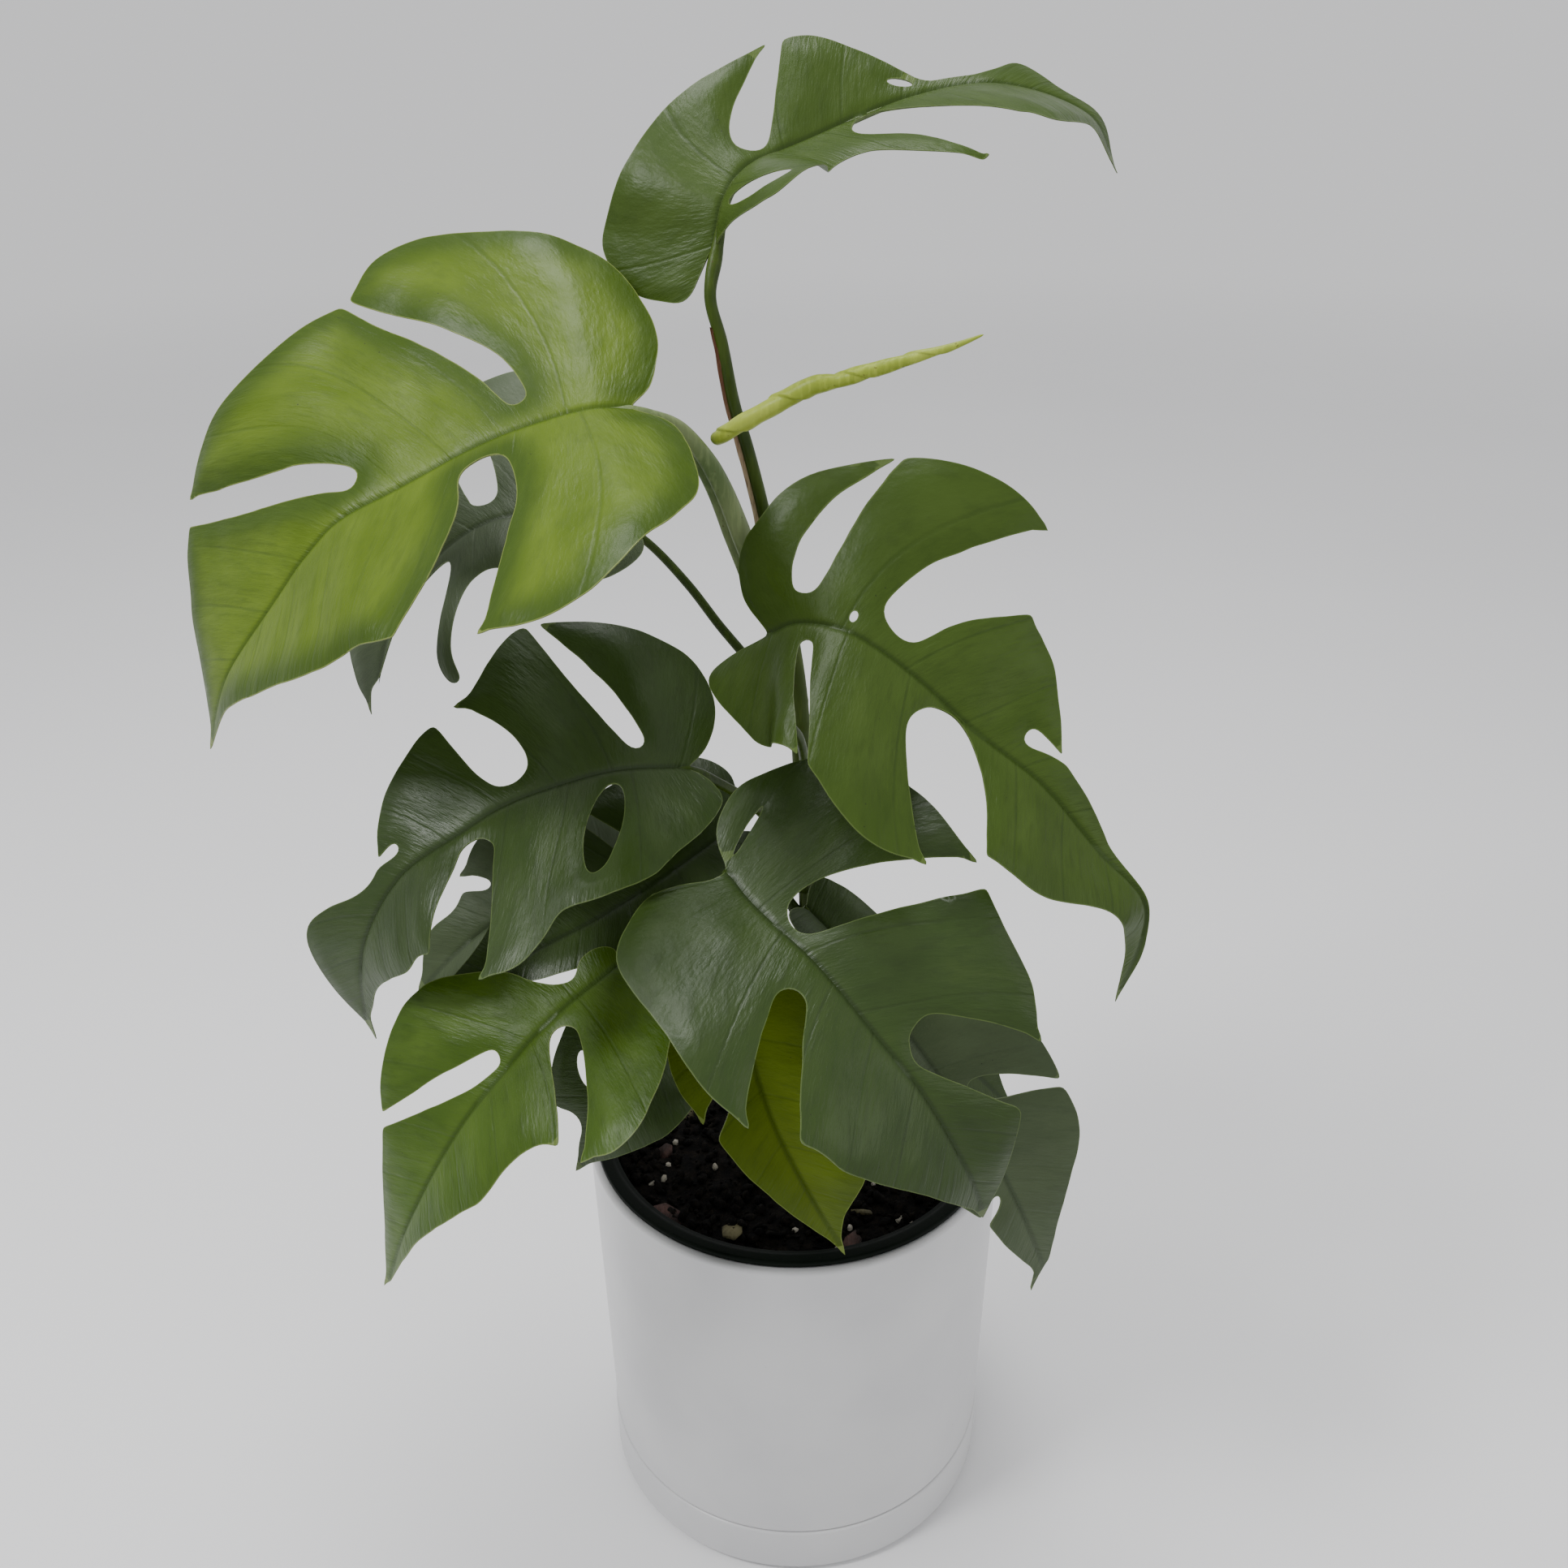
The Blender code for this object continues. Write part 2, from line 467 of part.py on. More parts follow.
LEAVES = {
    "leaf_top": dict(
        BLADE_TOP,
        rib=[(-22, 0, 474), (-19, 4, 486), (-12, 12, 494), (2, 22, 499), (36, 34, 511), (62, 36, 514),
             (88, 36, 506), (97, 34, 493)],
        face=[(-0.75, -0.65, 0.2), (-0.3, -0.65, 0.7), (0, -0.6, 0.8), (0.1, -0.45, 0.85),
              (0.2, -0.3, 0.9), (0.6, -0.3, 0.6)],
        fold=(24, 12), curl=(0, -30),
    ),
    "leaf_wide": dict(
        BLADE_WIDE,
        rib=[(-44, -40, 437), (-57, -44, 437), (-81, -47, 430), (-108, -49, 417), (-128, -50, 406),
             (-149, -50, 382), (-165, -48, 361), (-176, -42, 337)],
        face=[(-0.25, -0.55, 0.8), (-0.3, -0.6, 0.75), (-0.5, -0.55, 0.7)], fold=(8, 8), curl=(0, 0),
    ),
    "leaf_behind": dict(
        BLADE_BEHIND,
        rib=[(-59, 14, 392), (-81, 10, 393), (-98, 7, 390), (-113, 3, 380), (-129, 0, 359), (-138, -2, 331)],
        face=[(-0.25, -0.6, 0.75), (-0.4, -0.6, 0.65), (-0.6, -0.6, 0.4)], fold=(5, 5), curl=(-30, 0),
    ),
    "leaf_right": dict(
        BLADE_LONG,
        rib=[(-7, -38, 370), (2, -42, 375), (17, -48, 374), (35, -54, 363), (54, -60, 347), (71.5, -66, 334.5),
             (88.5, -72, 315.5), (103.5, -76, 298), (99, -74, 266)],
        face=[(0, -0.7, 0.7), (0.2, -0.65, 0.75), (0.4, -0.6, 0.7)], fold=(10, 10), curl=(0, 0),
    ),
    "leaf_left": dict(
        BLADE_LEFT,
        rib=[(-32, -45, 330), (-50, -50, 332), (-67, -55, 330), (-85, -60, 325), (-98, -64, 318),
             (-117, -68, 305), (-131, -68, 280), (-136, -62, 248)],
        face=[(-0.1, -0.55, 0.85), (-0.2, -0.6, 0.8), (-0.3, -0.7, 0.6)], fold=(10, 10), curl=(0, 0),
    ),
    "leaf_front": dict(
        BLADE_FRONT,
        rib=[(-19, -75, 311), (-11, -84, 305), (7, -100, 295), (22, -112, 281), (36, -120, 265),
             (48, -124, 243), (54, -122, 225)],
        face=[(0, -0.5, 0.87), (0.1, -0.55, 0.8), (0.2, -0.6, 0.7)], fold=(10, 10), curl=(0, 0),
    ),
    "leaf_low": dict(
        BLADE_LOW,
        rib=[(-53, -70, 276), (-72, -82, 265), (-86, -92, 253), (-101, -98, 235), (-118, -100, 204),
             (-132, -94, 168)],
        face=[(-0.1, -0.5, 0.87), (-0.2, -0.5, 0.8), (-0.4, -0.5, 0.7)], fold=(8, 8), curl=(0, 0),
    ),
    "leaf_olive": dict(
        BLADE_OLIVE,
        rib=[(-16, -55, 262), (-14, -68, 243), (-7, -78, 222), (3, -82, 199), (16, -80, 169)],
        face=[(-0.2, -0.7, 0.6), (-0.1, -0.8, 0.5), (-0.1, -0.9, 0.3)], fold=(15, 15), curl=(0, 0),
    ),
    "leaf_side": dict(
        BLADE_SIDE,
        rib=[(31, -66, 254), (46, -76, 236), (60, -84, 217), (72, -88, 193), (82, -86, 165)],
        face=[(0.1, -0.7, 0.6), (0.2, -0.8, 0.5), (0.3, -0.9, 0.3)], fold=(10, 10), curl=(0, 0),
    ),
    "leaf_back_left": dict(
        BLADE_BACK,
        rib=[(-60, -10, 268), (-76, -20, 271), (-91, -28, 270), (-107, -34, 261), (-124, -36, 244)],
        face=[(-0.2, -0.6, 0.8), (-0.3, -0.7, 0.6)], fold=(10, 10), curl=(0, 0),
    ),
    "leaf_middle": dict(
        BLADE_MIDDLE,
        rib=[(-23, -30, 298), (-41, -42, 290), (-61, -54, 282), (-81, -62, 275), (-103, -65, 263), (-119, -66, 248)],
        face=[(-0.1, -0.6, 0.8), (-0.2, -0.6, 0.75)], fold=(8, 8), curl=(0, 0),
    ),
    "leaf_shade": dict(
        BLADE_SHADE,
        rib=[(-35, -30, 236), (-46, -42, 228), (-56, -50, 217), (-66, -54, 200), (-74, -54, 182)],
        face=[(-0.1, -0.6, 0.8), (-0.2, -0.7, 0.6)], fold=(10, 10), curl=(0, 0),
    ),
    "leaf_inner": dict(
        BLADE_INNER,
        rib=[(5, -13, 260), (21, -16, 243), (42, -19, 221), (62, -21, 199), (80, -21, 178)],
        face=[(0, -0.6, 0.8), (0.2, -0.6, 0.7)], fold=(10, 10), curl=(0, 0),
    ),
}

# The stem runs up from its foot in the soil. A stalk leaves it at a height and passes through its
# own points on the way to its blade.
STEM = [(6, -2, 117), (6, -2, 145), (8, 0, 190), (6, 2, 240), (4, 3, 290), (2, 4, 330), (-2, 4, 360)]
STALKS = {
    "leaf_top": (364, [(-8, 2, 392), (-13, 1, 414), (-17, -1, 429), (-20, -4, 447), (-23, -4, 460)]),
    "leaf_behind": (322, [(-14, 9, 342), (-24, 12, 354), (-34, 15, 367), (-46, 17, 380)]),
    "leaf_right": (296, [(4, -10, 312), (2, -20, 328), (-4, -30, 342)]),
    "leaf_left": (262, [(-4, -12, 288), (-14, -26, 308), (-24, -37, 321)]),
    "leaf_front": (216, [(0, -22, 250), (-6, -42, 280), (-12, -58, 298)]),
    "leaf_low": (188, [(-8, -18, 216), (-21, -37, 247), (-40, -54, 262)]),
    "leaf_olive": (170, [(4, -16, 196), (-2, -32, 228), (-9, -44, 248)]),
    "leaf_side": (200, [(16, -16, 216), (24, -32, 230), (30, -48, 238)]),
    "leaf_back_left": (232, [(-12, 6, 250), (-32, 2, 262), (-48, -4, 266)]),
    "leaf_middle": (244, [(-6, -1, 264), (-13, -10, 283), (-19, -20, 292)]),
    "leaf_shade": (178, [(-6, -8, 198), (-16, -16, 220), (-26, -24, 230)]),
    "leaf_inner": (222, [(10, -7.5, 238), (7, -11, 249)]),
}
SHEATH = [(-11, -6, 374), (-16, -9, 390), (-21, -14, 406), (-26, -20, 418), (-32, -28, 428), (-39, -36, 433)]
NEW_LEAF = [(-23, -13, 421), (-19, -16, 423.5), (-14, -18, 427), (-7.5, -20, 431), (0, -21, 435),
            (6, -22.5, 438.5), (10, -23, 439.5), (15, -24, 440.5), (24, -25, 443.5), (34, -26, 446.5),
            (44, -27, 449.5), (53, -28, 453)]

LEAF_COLOURS = {
    "leaf_top": (0.035, 0.09, 0.018), "leaf_wide": (0.19, 0.27, 0.03), "leaf_low": (0.11, 0.2, 0.03),
    "leaf_olive": (0.14, 0.18, 0.008), "leaf_behind": (0.07, 0.12, 0.04), "leaf_side": (0.08, 0.11, 0.05),
}
DARK_LEAF = (0.04, 0.085, 0.02)


def stem_place(height):
    """The point of the stem's centre line at a height."""
    line = smooth_path(STEM, 2.0)
    return np.array([np.interp(height, line[:, 2], line[:, k]) for k in range(3)])


def make_stalk(name, spec, height, bends, material, collection):
    """The stalk of one leaf, from beside the stem to just under the blade's base."""
    rib = Rib(spec["rib"], spec["face"], spec["fold"], spec["curl"])
    first, last = np.asarray(bends[0], float), np.asarray(bends[-1], float)
    root = stem_place(height)
    away = first - root
    if height < STEM[-1][2]:
        away[2] = 0.0
    start = root + away / np.linalg.norm(away) * (STEM_RADIUS + STALK_RADIUS + GAP)
    under = rib.path[0] - rib.up[0] * (BLADE_THICKNESS / 2 + STALK_RADIUS + 2 * GAP) - rib.along[0]
    toward = (under - last) / np.linalg.norm(under - last)
    route = [start, *bends, under - toward * GAP]
    tube(name, route, [STALK_RADIUS * share for share in STALK_TAPER], material, collection)


def main():
    for obj in list(bpy.data.objects):
        bpy.data.objects.remove(obj, do_unlink=True)
    scene = bpy.context.scene
    plant = bpy.data.collections.new("potted_mini_monstera")
    cutters = bpy.data.collections.new("cutters")
    scene.collection.children.link(plant)
    scene.collection.children.link(cutters)
    ceramic = colour_material("white_glaze", (0.62, 0.62, 0.62), 0.35, 0.3)
    plastic = colour_material("green_black_plastic", (0.02, 0.03, 0.02), 0.4)
    mix = colour_material("potting_mix", (0.012, 0.01, 0.008), 0.95)
    green_stem = colour_material("stem_green", (0.12, 0.2, 0.05), 0.5)
    pale_green = colour_material("new_growth", (0.32, 0.42, 0.1), 0.45)

    make_saucer(ceramic, plant)
    make_planter(ceramic, plant, cutters)
    make_nursery_pot(plastic, plant, cutters)
    make_soil(mix, plant, cutters, STEM[0])
    tube("stem", STEM, (STEM_RADIUS, STEM_RADIUS * 0.9), green_stem, plant)
    tube("sheath", SHEATH, SHEATH_RADII, pale_green, plant)
    tube("new_leaf", NEW_LEAF, NEW_LEAF_RADII, pale_green, plant)
    for name, spec in LEAVES.items():
        colour = LEAF_COLOURS.get(name, DARK_LEAF)
        make_blade(name, spec, colour_material(name + "_green", colour, 0.38), plant)
    for name, (height, bends) in STALKS.items():
        stalk = name.replace("leaf", "stalk")
        make_stalk(stalk, LEAVES[name], height, bends, green_stem, plant)


main()
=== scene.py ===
# %% [markdown]
# # A potted mini monstera
#
# This lesson builds the looks of a climbing houseplant with split leaves, in a plastic nursery pot
# that hangs in a white glazed planter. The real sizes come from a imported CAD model, which is loaded
# as a fixed frame. Each piece made here stands for a CAD node of the same place and size.
#
# Every table is in millimetres and degrees, as a maker would write it. MM turns millimetres into
# Blender's metres when a mesh is made. The origin is the middle of the saucer's underside, +Z is up
# and +X is to the right seen from the front.

import bpy
import numpy as np
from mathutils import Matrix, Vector
from mathutils.geometry import delaunay_2d_cdt


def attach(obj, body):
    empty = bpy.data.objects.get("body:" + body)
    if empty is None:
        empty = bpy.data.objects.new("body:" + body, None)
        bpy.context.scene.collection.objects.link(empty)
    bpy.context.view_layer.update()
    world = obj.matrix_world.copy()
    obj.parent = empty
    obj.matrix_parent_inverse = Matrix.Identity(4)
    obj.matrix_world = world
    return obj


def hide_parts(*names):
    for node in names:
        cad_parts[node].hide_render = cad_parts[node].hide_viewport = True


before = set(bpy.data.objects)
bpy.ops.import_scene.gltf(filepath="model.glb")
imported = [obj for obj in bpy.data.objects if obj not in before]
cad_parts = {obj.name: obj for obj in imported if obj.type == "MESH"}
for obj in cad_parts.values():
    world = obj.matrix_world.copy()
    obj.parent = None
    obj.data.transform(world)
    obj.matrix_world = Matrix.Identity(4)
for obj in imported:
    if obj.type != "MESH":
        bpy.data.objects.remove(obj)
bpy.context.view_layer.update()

MM = 0.001

# %% [markdown]
# ## The camera
#
# The plant was looked at from the front and from a little above its top. A 33.5 mm lens on a 36 mm
# sensor sees an angle of 56 degrees, and the camera leans down so that the rim of the pot shows as
# an open ellipse. A camera looks along its own -Z, so a turn of 90 degrees about X would look level.

# %% Camera
LENS_MM = 33.54
CAMERA_PLACE = (0.0, -0.441, 0.524)
CAMERA_TURN = (63.199, 0.420, 0.168)

camera_data = bpy.data.cameras.new("front_view")
camera_data.lens = LENS_MM
camera_data.sensor_width = 36.0
camera_data.clip_start = 0.01
camera_data.clip_end = 100.0
camera = bpy.data.objects.new("front_view", camera_data)
camera.location = CAMERA_PLACE
camera.rotation_euler = np.radians(CAMERA_TURN)
bpy.context.scene.collection.objects.link(camera)
bpy.context.scene.camera = camera
print("camera at", tuple(camera.location))

# %% [markdown]
# ## From arrays to a mesh
#
# A surface is first worked out as an array of points, one row for each value of its first parameter
# and one column for each value of its second. The helper below joins neighbours with four-sided
# faces, wraps round where the surface closes on itself, and closes an end with a fan of triangles
# round one point. It then turns all faces outwards: a closed mesh whose faces point out has a
# positive volume, which is the sum over its triangles of a . (b x c) / 6.


# %% Mesh helpers
def volume(points, triangles):
    """The volume inside a closed mesh: the sum of a . (b x c) / 6 over its triangles."""
    a, b, c = (points[triangles[:, k]] for k in range(3))
    return float(np.einsum("ij,ij->i", a, np.cross(b, c)).sum() / 6)


def new_piece(name, points, faces, node=None, materials=()):
    """An object at the origin made from points in millimetres. It rides on the frame's one body."""
    mesh = bpy.data.meshes.new(name)
    mesh.from_pydata((np.asarray(points) * MM).tolist(), [], faces)
    mesh.shade_smooth()
    piece = bpy.data.objects.new(name, mesh)
    bpy.context.scene.collection.objects.link(piece)
    for finish in materials:
        mesh.materials.append(finish)
    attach(piece, "root")
    if node:
        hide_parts(node)
    return piece


def grid_faces(rows, columns, around, along):
    """The corners of the four-sided faces of a grid. around and along close it on itself."""
    i = np.arange(rows if along else rows - 1)
    j = np.arange(columns if around else columns - 1)
    i, j = (values.ravel() for values in np.meshgrid(i, j, indexing="ij"))
    down, right = (i + 1) % rows, (j + 1) % columns
    here, below = i * columns, down * columns
    return np.stack([here + j, here + right, below + right, below + j], 1)


def outward(points, quads, triangles):
    """The faces, turned round if they point inwards."""
    halves = np.vstack([quads[:, [0, 1, 2]], quads[:, [0, 2, 3]], triangles])
    if volume(points, halves) < 0:
        quads, triangles = quads[:, ::-1], triangles[:, ::-1]
    return quads.tolist() + triangles.tolist()


def closed_grid(grid, along=False):
    """Points and faces of a grid that closes round its columns.

    Its rows either close on themselves, as on a ring, or end in one point at each end: the mean
    of the first row and of the last.
    """
    rows, columns = grid.shape[:2]
    points = grid.reshape(-1, 3)
    quads = grid_faces(rows, columns, True, along)
    triangles = np.zeros((0, 3), int)
    if not along:
        j = np.arange(columns)
        right, last = (j + 1) % columns, (rows - 1) * columns
        first = np.full(columns, len(points))
        near = np.stack([first, right, j], 1)
        far = np.stack([first + 1, last + j, last + right], 1)
        points = np.vstack([points, grid[0].mean(0), grid[-1].mean(0)])
        triangles = np.vstack([near, far])
    return points, outward(points, quads, triangles)


print("mesh helpers ready")

# %% [markdown]
# ## Smooth lines
#
# A designer places a few points and wants a smooth line through them. The Catmull-Rom curve does
# that: between two points it is a cubic whose slope at each point is half the step between the
# point's neighbours. A carried profile also needs two directions across the line at each of its
# points. The first is the part of a fixed direction that is square to the line, and the second is
# square to both.


# %% Lines and noise
def through(points, step):
    """Points about step apart on the Catmull-Rom curve through the given points."""
    points = np.asarray(points, float)
    ends = np.vstack([2 * points[0] - points[1], points, 2 * points[-1] - points[-2]])
    pieces = []
    for a, b, c, d in zip(ends, ends[1:], ends[2:], ends[3:]):
        count = max(2, int(np.linalg.norm(c - b) / step) + 1)
        t = np.linspace(0, 1, count, endpoint=False)[:, None]
        straight, square = (c - a) * t, (2 * a - 5 * b + 4 * c - d) * t**2
        pieces.append((2 * b + straight + square + (3 * b - a - 3 * c + d) * t**3) / 2)
    return np.vstack([*pieces, points[-1:]])


def unit(vectors):
    """Each row divided by its length."""
    return vectors / np.maximum(np.linalg.norm(vectors, axis=-1, keepdims=True), 1e-9)


def travelled(path):
    """The distance along the path at each of its points."""
    return np.concatenate([[0], np.cumsum(np.linalg.norm(np.diff(path, axis=0), axis=1))])


def crossways(path):
    """Two unit directions square to the path at each point: the fixed direction that leans on it
    least, less its part along the path, and the cross product of the two."""
    along = unit(np.gradient(path, axis=0))
    fixed = np.eye(3)[np.argmin(np.abs(along).mean(0))]
    first = unit(fixed - (along @ fixed)[:, None] * along)
    return first, np.cross(along, first)


def swell(x, y, size, seed):
    """Smooth noise from -1 to 1: random values on a square lattice, blended by 3t^2 - 2t^3."""
    lattice = np.random.default_rng(seed).uniform(-1, 1, (64, 64))
    u, v = x / size + 17.3, y / size + 11.7
    i, j = np.floor(u).astype(int), np.floor(v).astype(int)
    s, t = u - i, v - j
    s, t = s * s * (3 - 2 * s), t * t * (3 - 2 * t)

    def read(di, dj):
        return lattice[(i + di) % 64, (j + dj) % 64]

    low = read(0, 0) * (1 - s) + read(1, 0) * s
    high = read(0, 1) * (1 - s) + read(1, 1) * s
    return low * (1 - t) + high * t


def ramp(value, low, high):
    """0 below low, 1 above high, and 3t^2 - 2t^3 in between."""
    t = np.clip((value - low) / (high - low), 0, 1)
    return t * t * (3 - 2 * t)


def carried(path, radius, sides=20, rounded=(1.0, 1.0)):
    """A tube: round each point of the path runs a ring whose radius is radius(share, angle).

    share goes from 0 to 1 along the path. rounded gives how much of each end is a quarter circle,
    in radii, so that the tube closes in a dome.
    """
    length = travelled(path)
    share = length / length[-1]
    angle = np.linspace(0, 2 * np.pi, sides, endpoint=False)
    first, second = crossways(path)
    r = radius(share[:, None], angle[None]) * np.ones((len(path), sides))
    size = r.mean()
    start = np.clip(length / max(rounded[0] * size, 1e-6), 0.02, 1)[:, None]
    end = np.clip((length[-1] - length) / max(rounded[1] * size, 1e-6), 0.02, 1)[:, None]
    r = r * np.sqrt(1 - (1 - start) ** 2) * np.sqrt(1 - (1 - end) ** 2)
    ring = np.cos(angle)[:, None] * first[:, None] + np.sin(angle)[:, None] * second[:, None]
    return closed_grid(path[:, None] + r[..., None] * ring)


print("a smooth line:", len(through([(0, 0), (10, 5), (20, 0)], 1.0)), "points")

# %% [markdown]
# ## Writing shaders as sums
#
# A material is a tree of nodes, and most of its nodes only add, multiply or compare. Here one small
# class wraps a socket, so that `1 - mask * 0.5` adds the Math nodes by itself. Colours are mixed with
# a Mix node, since a Math node would turn them grey. What is the same all over a surface is set
# straight on the shader's own socket.


# %% Shader helpers
class Wire:
    """One output of a node tree, on which + - and * work as Math nodes."""

    def __init__(self, finish, socket):
        self.finish = finish
        self.socket = socket

    def join(self, operation, a, b):
        return self.finish.node("ShaderNodeMath", {"operation": operation}, {0: a, 1: b})

    def __add__(self, other):
        return self.join("ADD", self, other)

    def __radd__(self, other):
        return self.join("ADD", other, self)

    def __sub__(self, other):
        return self.join("SUBTRACT", self, other)

    def __rsub__(self, other):
        return self.join("SUBTRACT", other, self)

    def __mul__(self, other):
        return self.join("MULTIPLY", self, other)

    def __rmul__(self, other):
        return self.join("MULTIPLY", other, self)

    def size(self):
        """The value without its sign."""
        return self.join("ABSOLUTE", self, 0.0)

    def part(self):
        """What is left of the value above the whole number below it."""
        return self.join("FRACT", self, 0.0)

    def rise(self, low, high, start=0.0, end=1.0):
        """start below low, end above high and a smooth step between."""
        return self.finish.node(
            "ShaderNodeMapRange", {"interpolation_type": "SMOOTHSTEP"},
            {"Value": self, "From Min": low, "From Max": high, "To Min": start, "To Max": end},
        )

    def fall(self, low, high):
        """1 below low, 0 above high and a smooth step between."""
        return self.rise(low, high, 1.0, 0.0)


def times(factor, colour):
    """A colour made lighter or darker."""
    return tuple(factor * part for part in colour)


class Finish:
    """A Principled material and the nodes that feed it."""

    def __init__(self, name, colour, roughness, **fixed):
        self.material = bpy.data.materials.new(name)
        self.material.use_nodes = True
        self.tree = self.material.node_tree
        self.shader = self.tree.nodes["Principled BSDF"]
        self.set("Base Color", (*colour, 1.0))
        self.set("Roughness", roughness)
        for socket, value in fixed.items():
            self.set(socket.replace("_", " "), value)

    def set(self, socket, value):
        """Gives a socket of the shader a constant or a link."""
        self.feed(self.shader.inputs[socket], value)
        return self

    def feed(self, target, value):
        if isinstance(value, Wire):
            self.tree.links.new(value.socket, target)
        else:
            target.default_value = value

    def node(self, kind, settings, values, output=0):
        """A node of any kind: its settings come first, then the values or links of its sockets."""
        made = self.tree.nodes.new(kind)
        for setting, value in settings.items():
            setattr(made, setting, value)
        for socket, value in values.items():
            self.feed(made.inputs[socket], value)
        return Wire(self, made.outputs[output])

    def place(self):
        """Object coordinates, in metres."""
        return self.node("ShaderNodeTexCoord", {}, {}, "Object")

    def uv(self, name):
        return self.node("ShaderNodeUVMap", {"uv_map": name}, {})

    def split(self, vector):
        """The three numbers of a vector."""
        made = self.node("ShaderNodeSeparateXYZ", {}, {0: vector}).socket.node
        return [Wire(self, socket) for socket in made.outputs]

    def vector(self, x, y, z=0.0):
        return self.node("ShaderNodeCombineXYZ", {}, {0: x, 1: y, 2: z})

    def noise(self, where, scale, detail=2.0, roughness=0.5):
        """Soft noise from 0 to 1. scale is how many lumps fit in one unit of the coordinates."""
        return self.node(
            "ShaderNodeTexNoise", {},
            {"Vector": where, "Scale": scale, "Detail": detail, "Roughness": roughness},
        )

    def streaks(self, along, scale, detail):
        """Noise whose lumps are drawn out: along is how much of each coordinate is read."""
        place = self.node("ShaderNodeMapping", {}, {"Vector": self.place(), "Scale": along})
        return self.noise(place, scale, detail)

    def cells(self, where, scale, feature="F1"):
        """The distance to the nearest of many scattered points."""
        values = {"Vector": where, "Scale": scale}
        return self.node("ShaderNodeTexVoronoi", {"feature": feature}, values)

    def mix(self, share, a, b):
        """Colour a where share is 0 and colour b where it is 1."""
        made = self.tree.nodes.new("ShaderNodeMix")
        made.data_type = "RGBA"
        sockets = [socket for socket in made.inputs if socket.type == "RGBA"]
        self.feed(made.inputs[0], share)
        for socket, colour in zip(sockets, (a, b)):
            self.feed(socket, (*colour, 1.0) if isinstance(colour, tuple) else colour)
        return Wire(self, next(s for s in made.outputs if s.type == "RGBA"))

    def bump(self, height, millimetres):
        """Tilts the surface's normal as a relief of that many millimetres would."""
        normal = self.node("ShaderNodeBump", {}, {"Height": height, "Distance": millimetres * MM})
        return self.set("Normal", normal)


print("shader helpers ready")

# %% [markdown]
# ## Glaze, plastic and potting mix
#
# The planter's glaze is white, soft and slightly uneven: broad waves too shallow to see as shapes
# make its reflection wander, and tiny pinholes catch a little dirt. The nursery pot is thin injected
# polypropylene, nearly black with a green cast, with fine rings from its mould and dust on top.
# Potting mix is peat and bark, almost black where damp. Perlite is foamed white glass rock.


# %% Holder finishes
def make_glaze():
    finish = Finish("white_glaze", (0.62, 0.62, 0.62), 0.32, Coat_Weight=0.25, Coat_Roughness=0.2)
    where = finish.place()
    cloud = finish.noise(where, 18.0, 3.0)
    fine = finish.noise(where, 420.0, 2.0)
    pinhole = finish.cells(where, 260.0).fall(0.03, 0.09) * finish.noise(where, 60.0).rise(0.6, 0.7)
    tone = finish.mix(cloud.rise(0.3, 0.7), (0.53, 0.53, 0.538), (0.585, 0.585, 0.585))
    finish.set("Base Color", finish.mix(pinhole * 0.5, tone, (0.38, 0.36, 0.33)))
    finish.set("Roughness", 0.27 + cloud * 0.1 + fine * 0.05)
    finish.bump(cloud * 0.7 + fine * 0.1 - pinhole * 0.3, 0.35)
    return finish.material


def make_plastic():
    finish = Finish("green_black_plastic", (0.003, 0.006, 0.004), 0.45, Specular_IOR_Level=0.06)
    where = finish.place()
    height = finish.split(where)[2]
    rings = finish.noise(finish.vector(0.0, 0.0, height), 900.0, 2.0)
    dust = finish.noise(where, 85.0, 4.0, 0.65).rise(0.5, 0.8)
    scuff = finish.noise(where, 520.0, 3.0).rise(0.58, 0.7)
    tone = finish.mix(dust * 0.3 + scuff * 0.15, (0.0022, 0.0045, 0.0025), (0.01, 0.013, 0.008))
    finish.set("Base Color", tone)
    finish.set("Roughness", 0.36 + dust * 0.25 + scuff * 0.1)
    finish.bump(rings * 0.5 + scuff * 0.2, 0.08)
    return finish.material


def make_mix():
    finish = Finish("potting_mix", (0.004, 0.003, 0.002), 0.9, Specular_IOR_Level=0.12)
    where = finish.place()
    crumb = finish.noise(where, 260.0, 5.0, 0.7)
    fibre = finish.noise(where, 900.0, 3.0)
    damp = finish.noise(where, 35.0, 2.0)
    tone = finish.mix(crumb.rise(0.4, 0.75), (0.0012, 0.001, 0.0008), (0.012, 0.009, 0.006))
    finish.set("Base Color", finish.mix(fibre.rise(0.68, 0.76), tone, (0.03, 0.022, 0.013)))
    finish.set("Roughness", 0.7 + damp * 0.25)
    finish.bump(crumb + fibre * 0.4, 1.2)
    return finish.material


def make_perlite():
    finish = Finish("perlite", (0.6, 0.58, 0.53), 0.85)
    where = finish.place()
    pits = finish.cells(where, 1400.0)
    stain = finish.noise(where, 160.0, 3.0)
    tone = finish.mix(stain.rise(0.4, 0.7), (0.4, 0.37, 0.31), (0.2, 0.18, 0.13))
    finish.set("Base Color", finish.mix(pits.fall(0.1, 0.35) * 0.5, tone, (0.2, 0.18, 0.14)))
    finish.set("Roughness", 0.75 + stain * 0.2)
    finish.bump(pits, 0.4)
    return finish.material


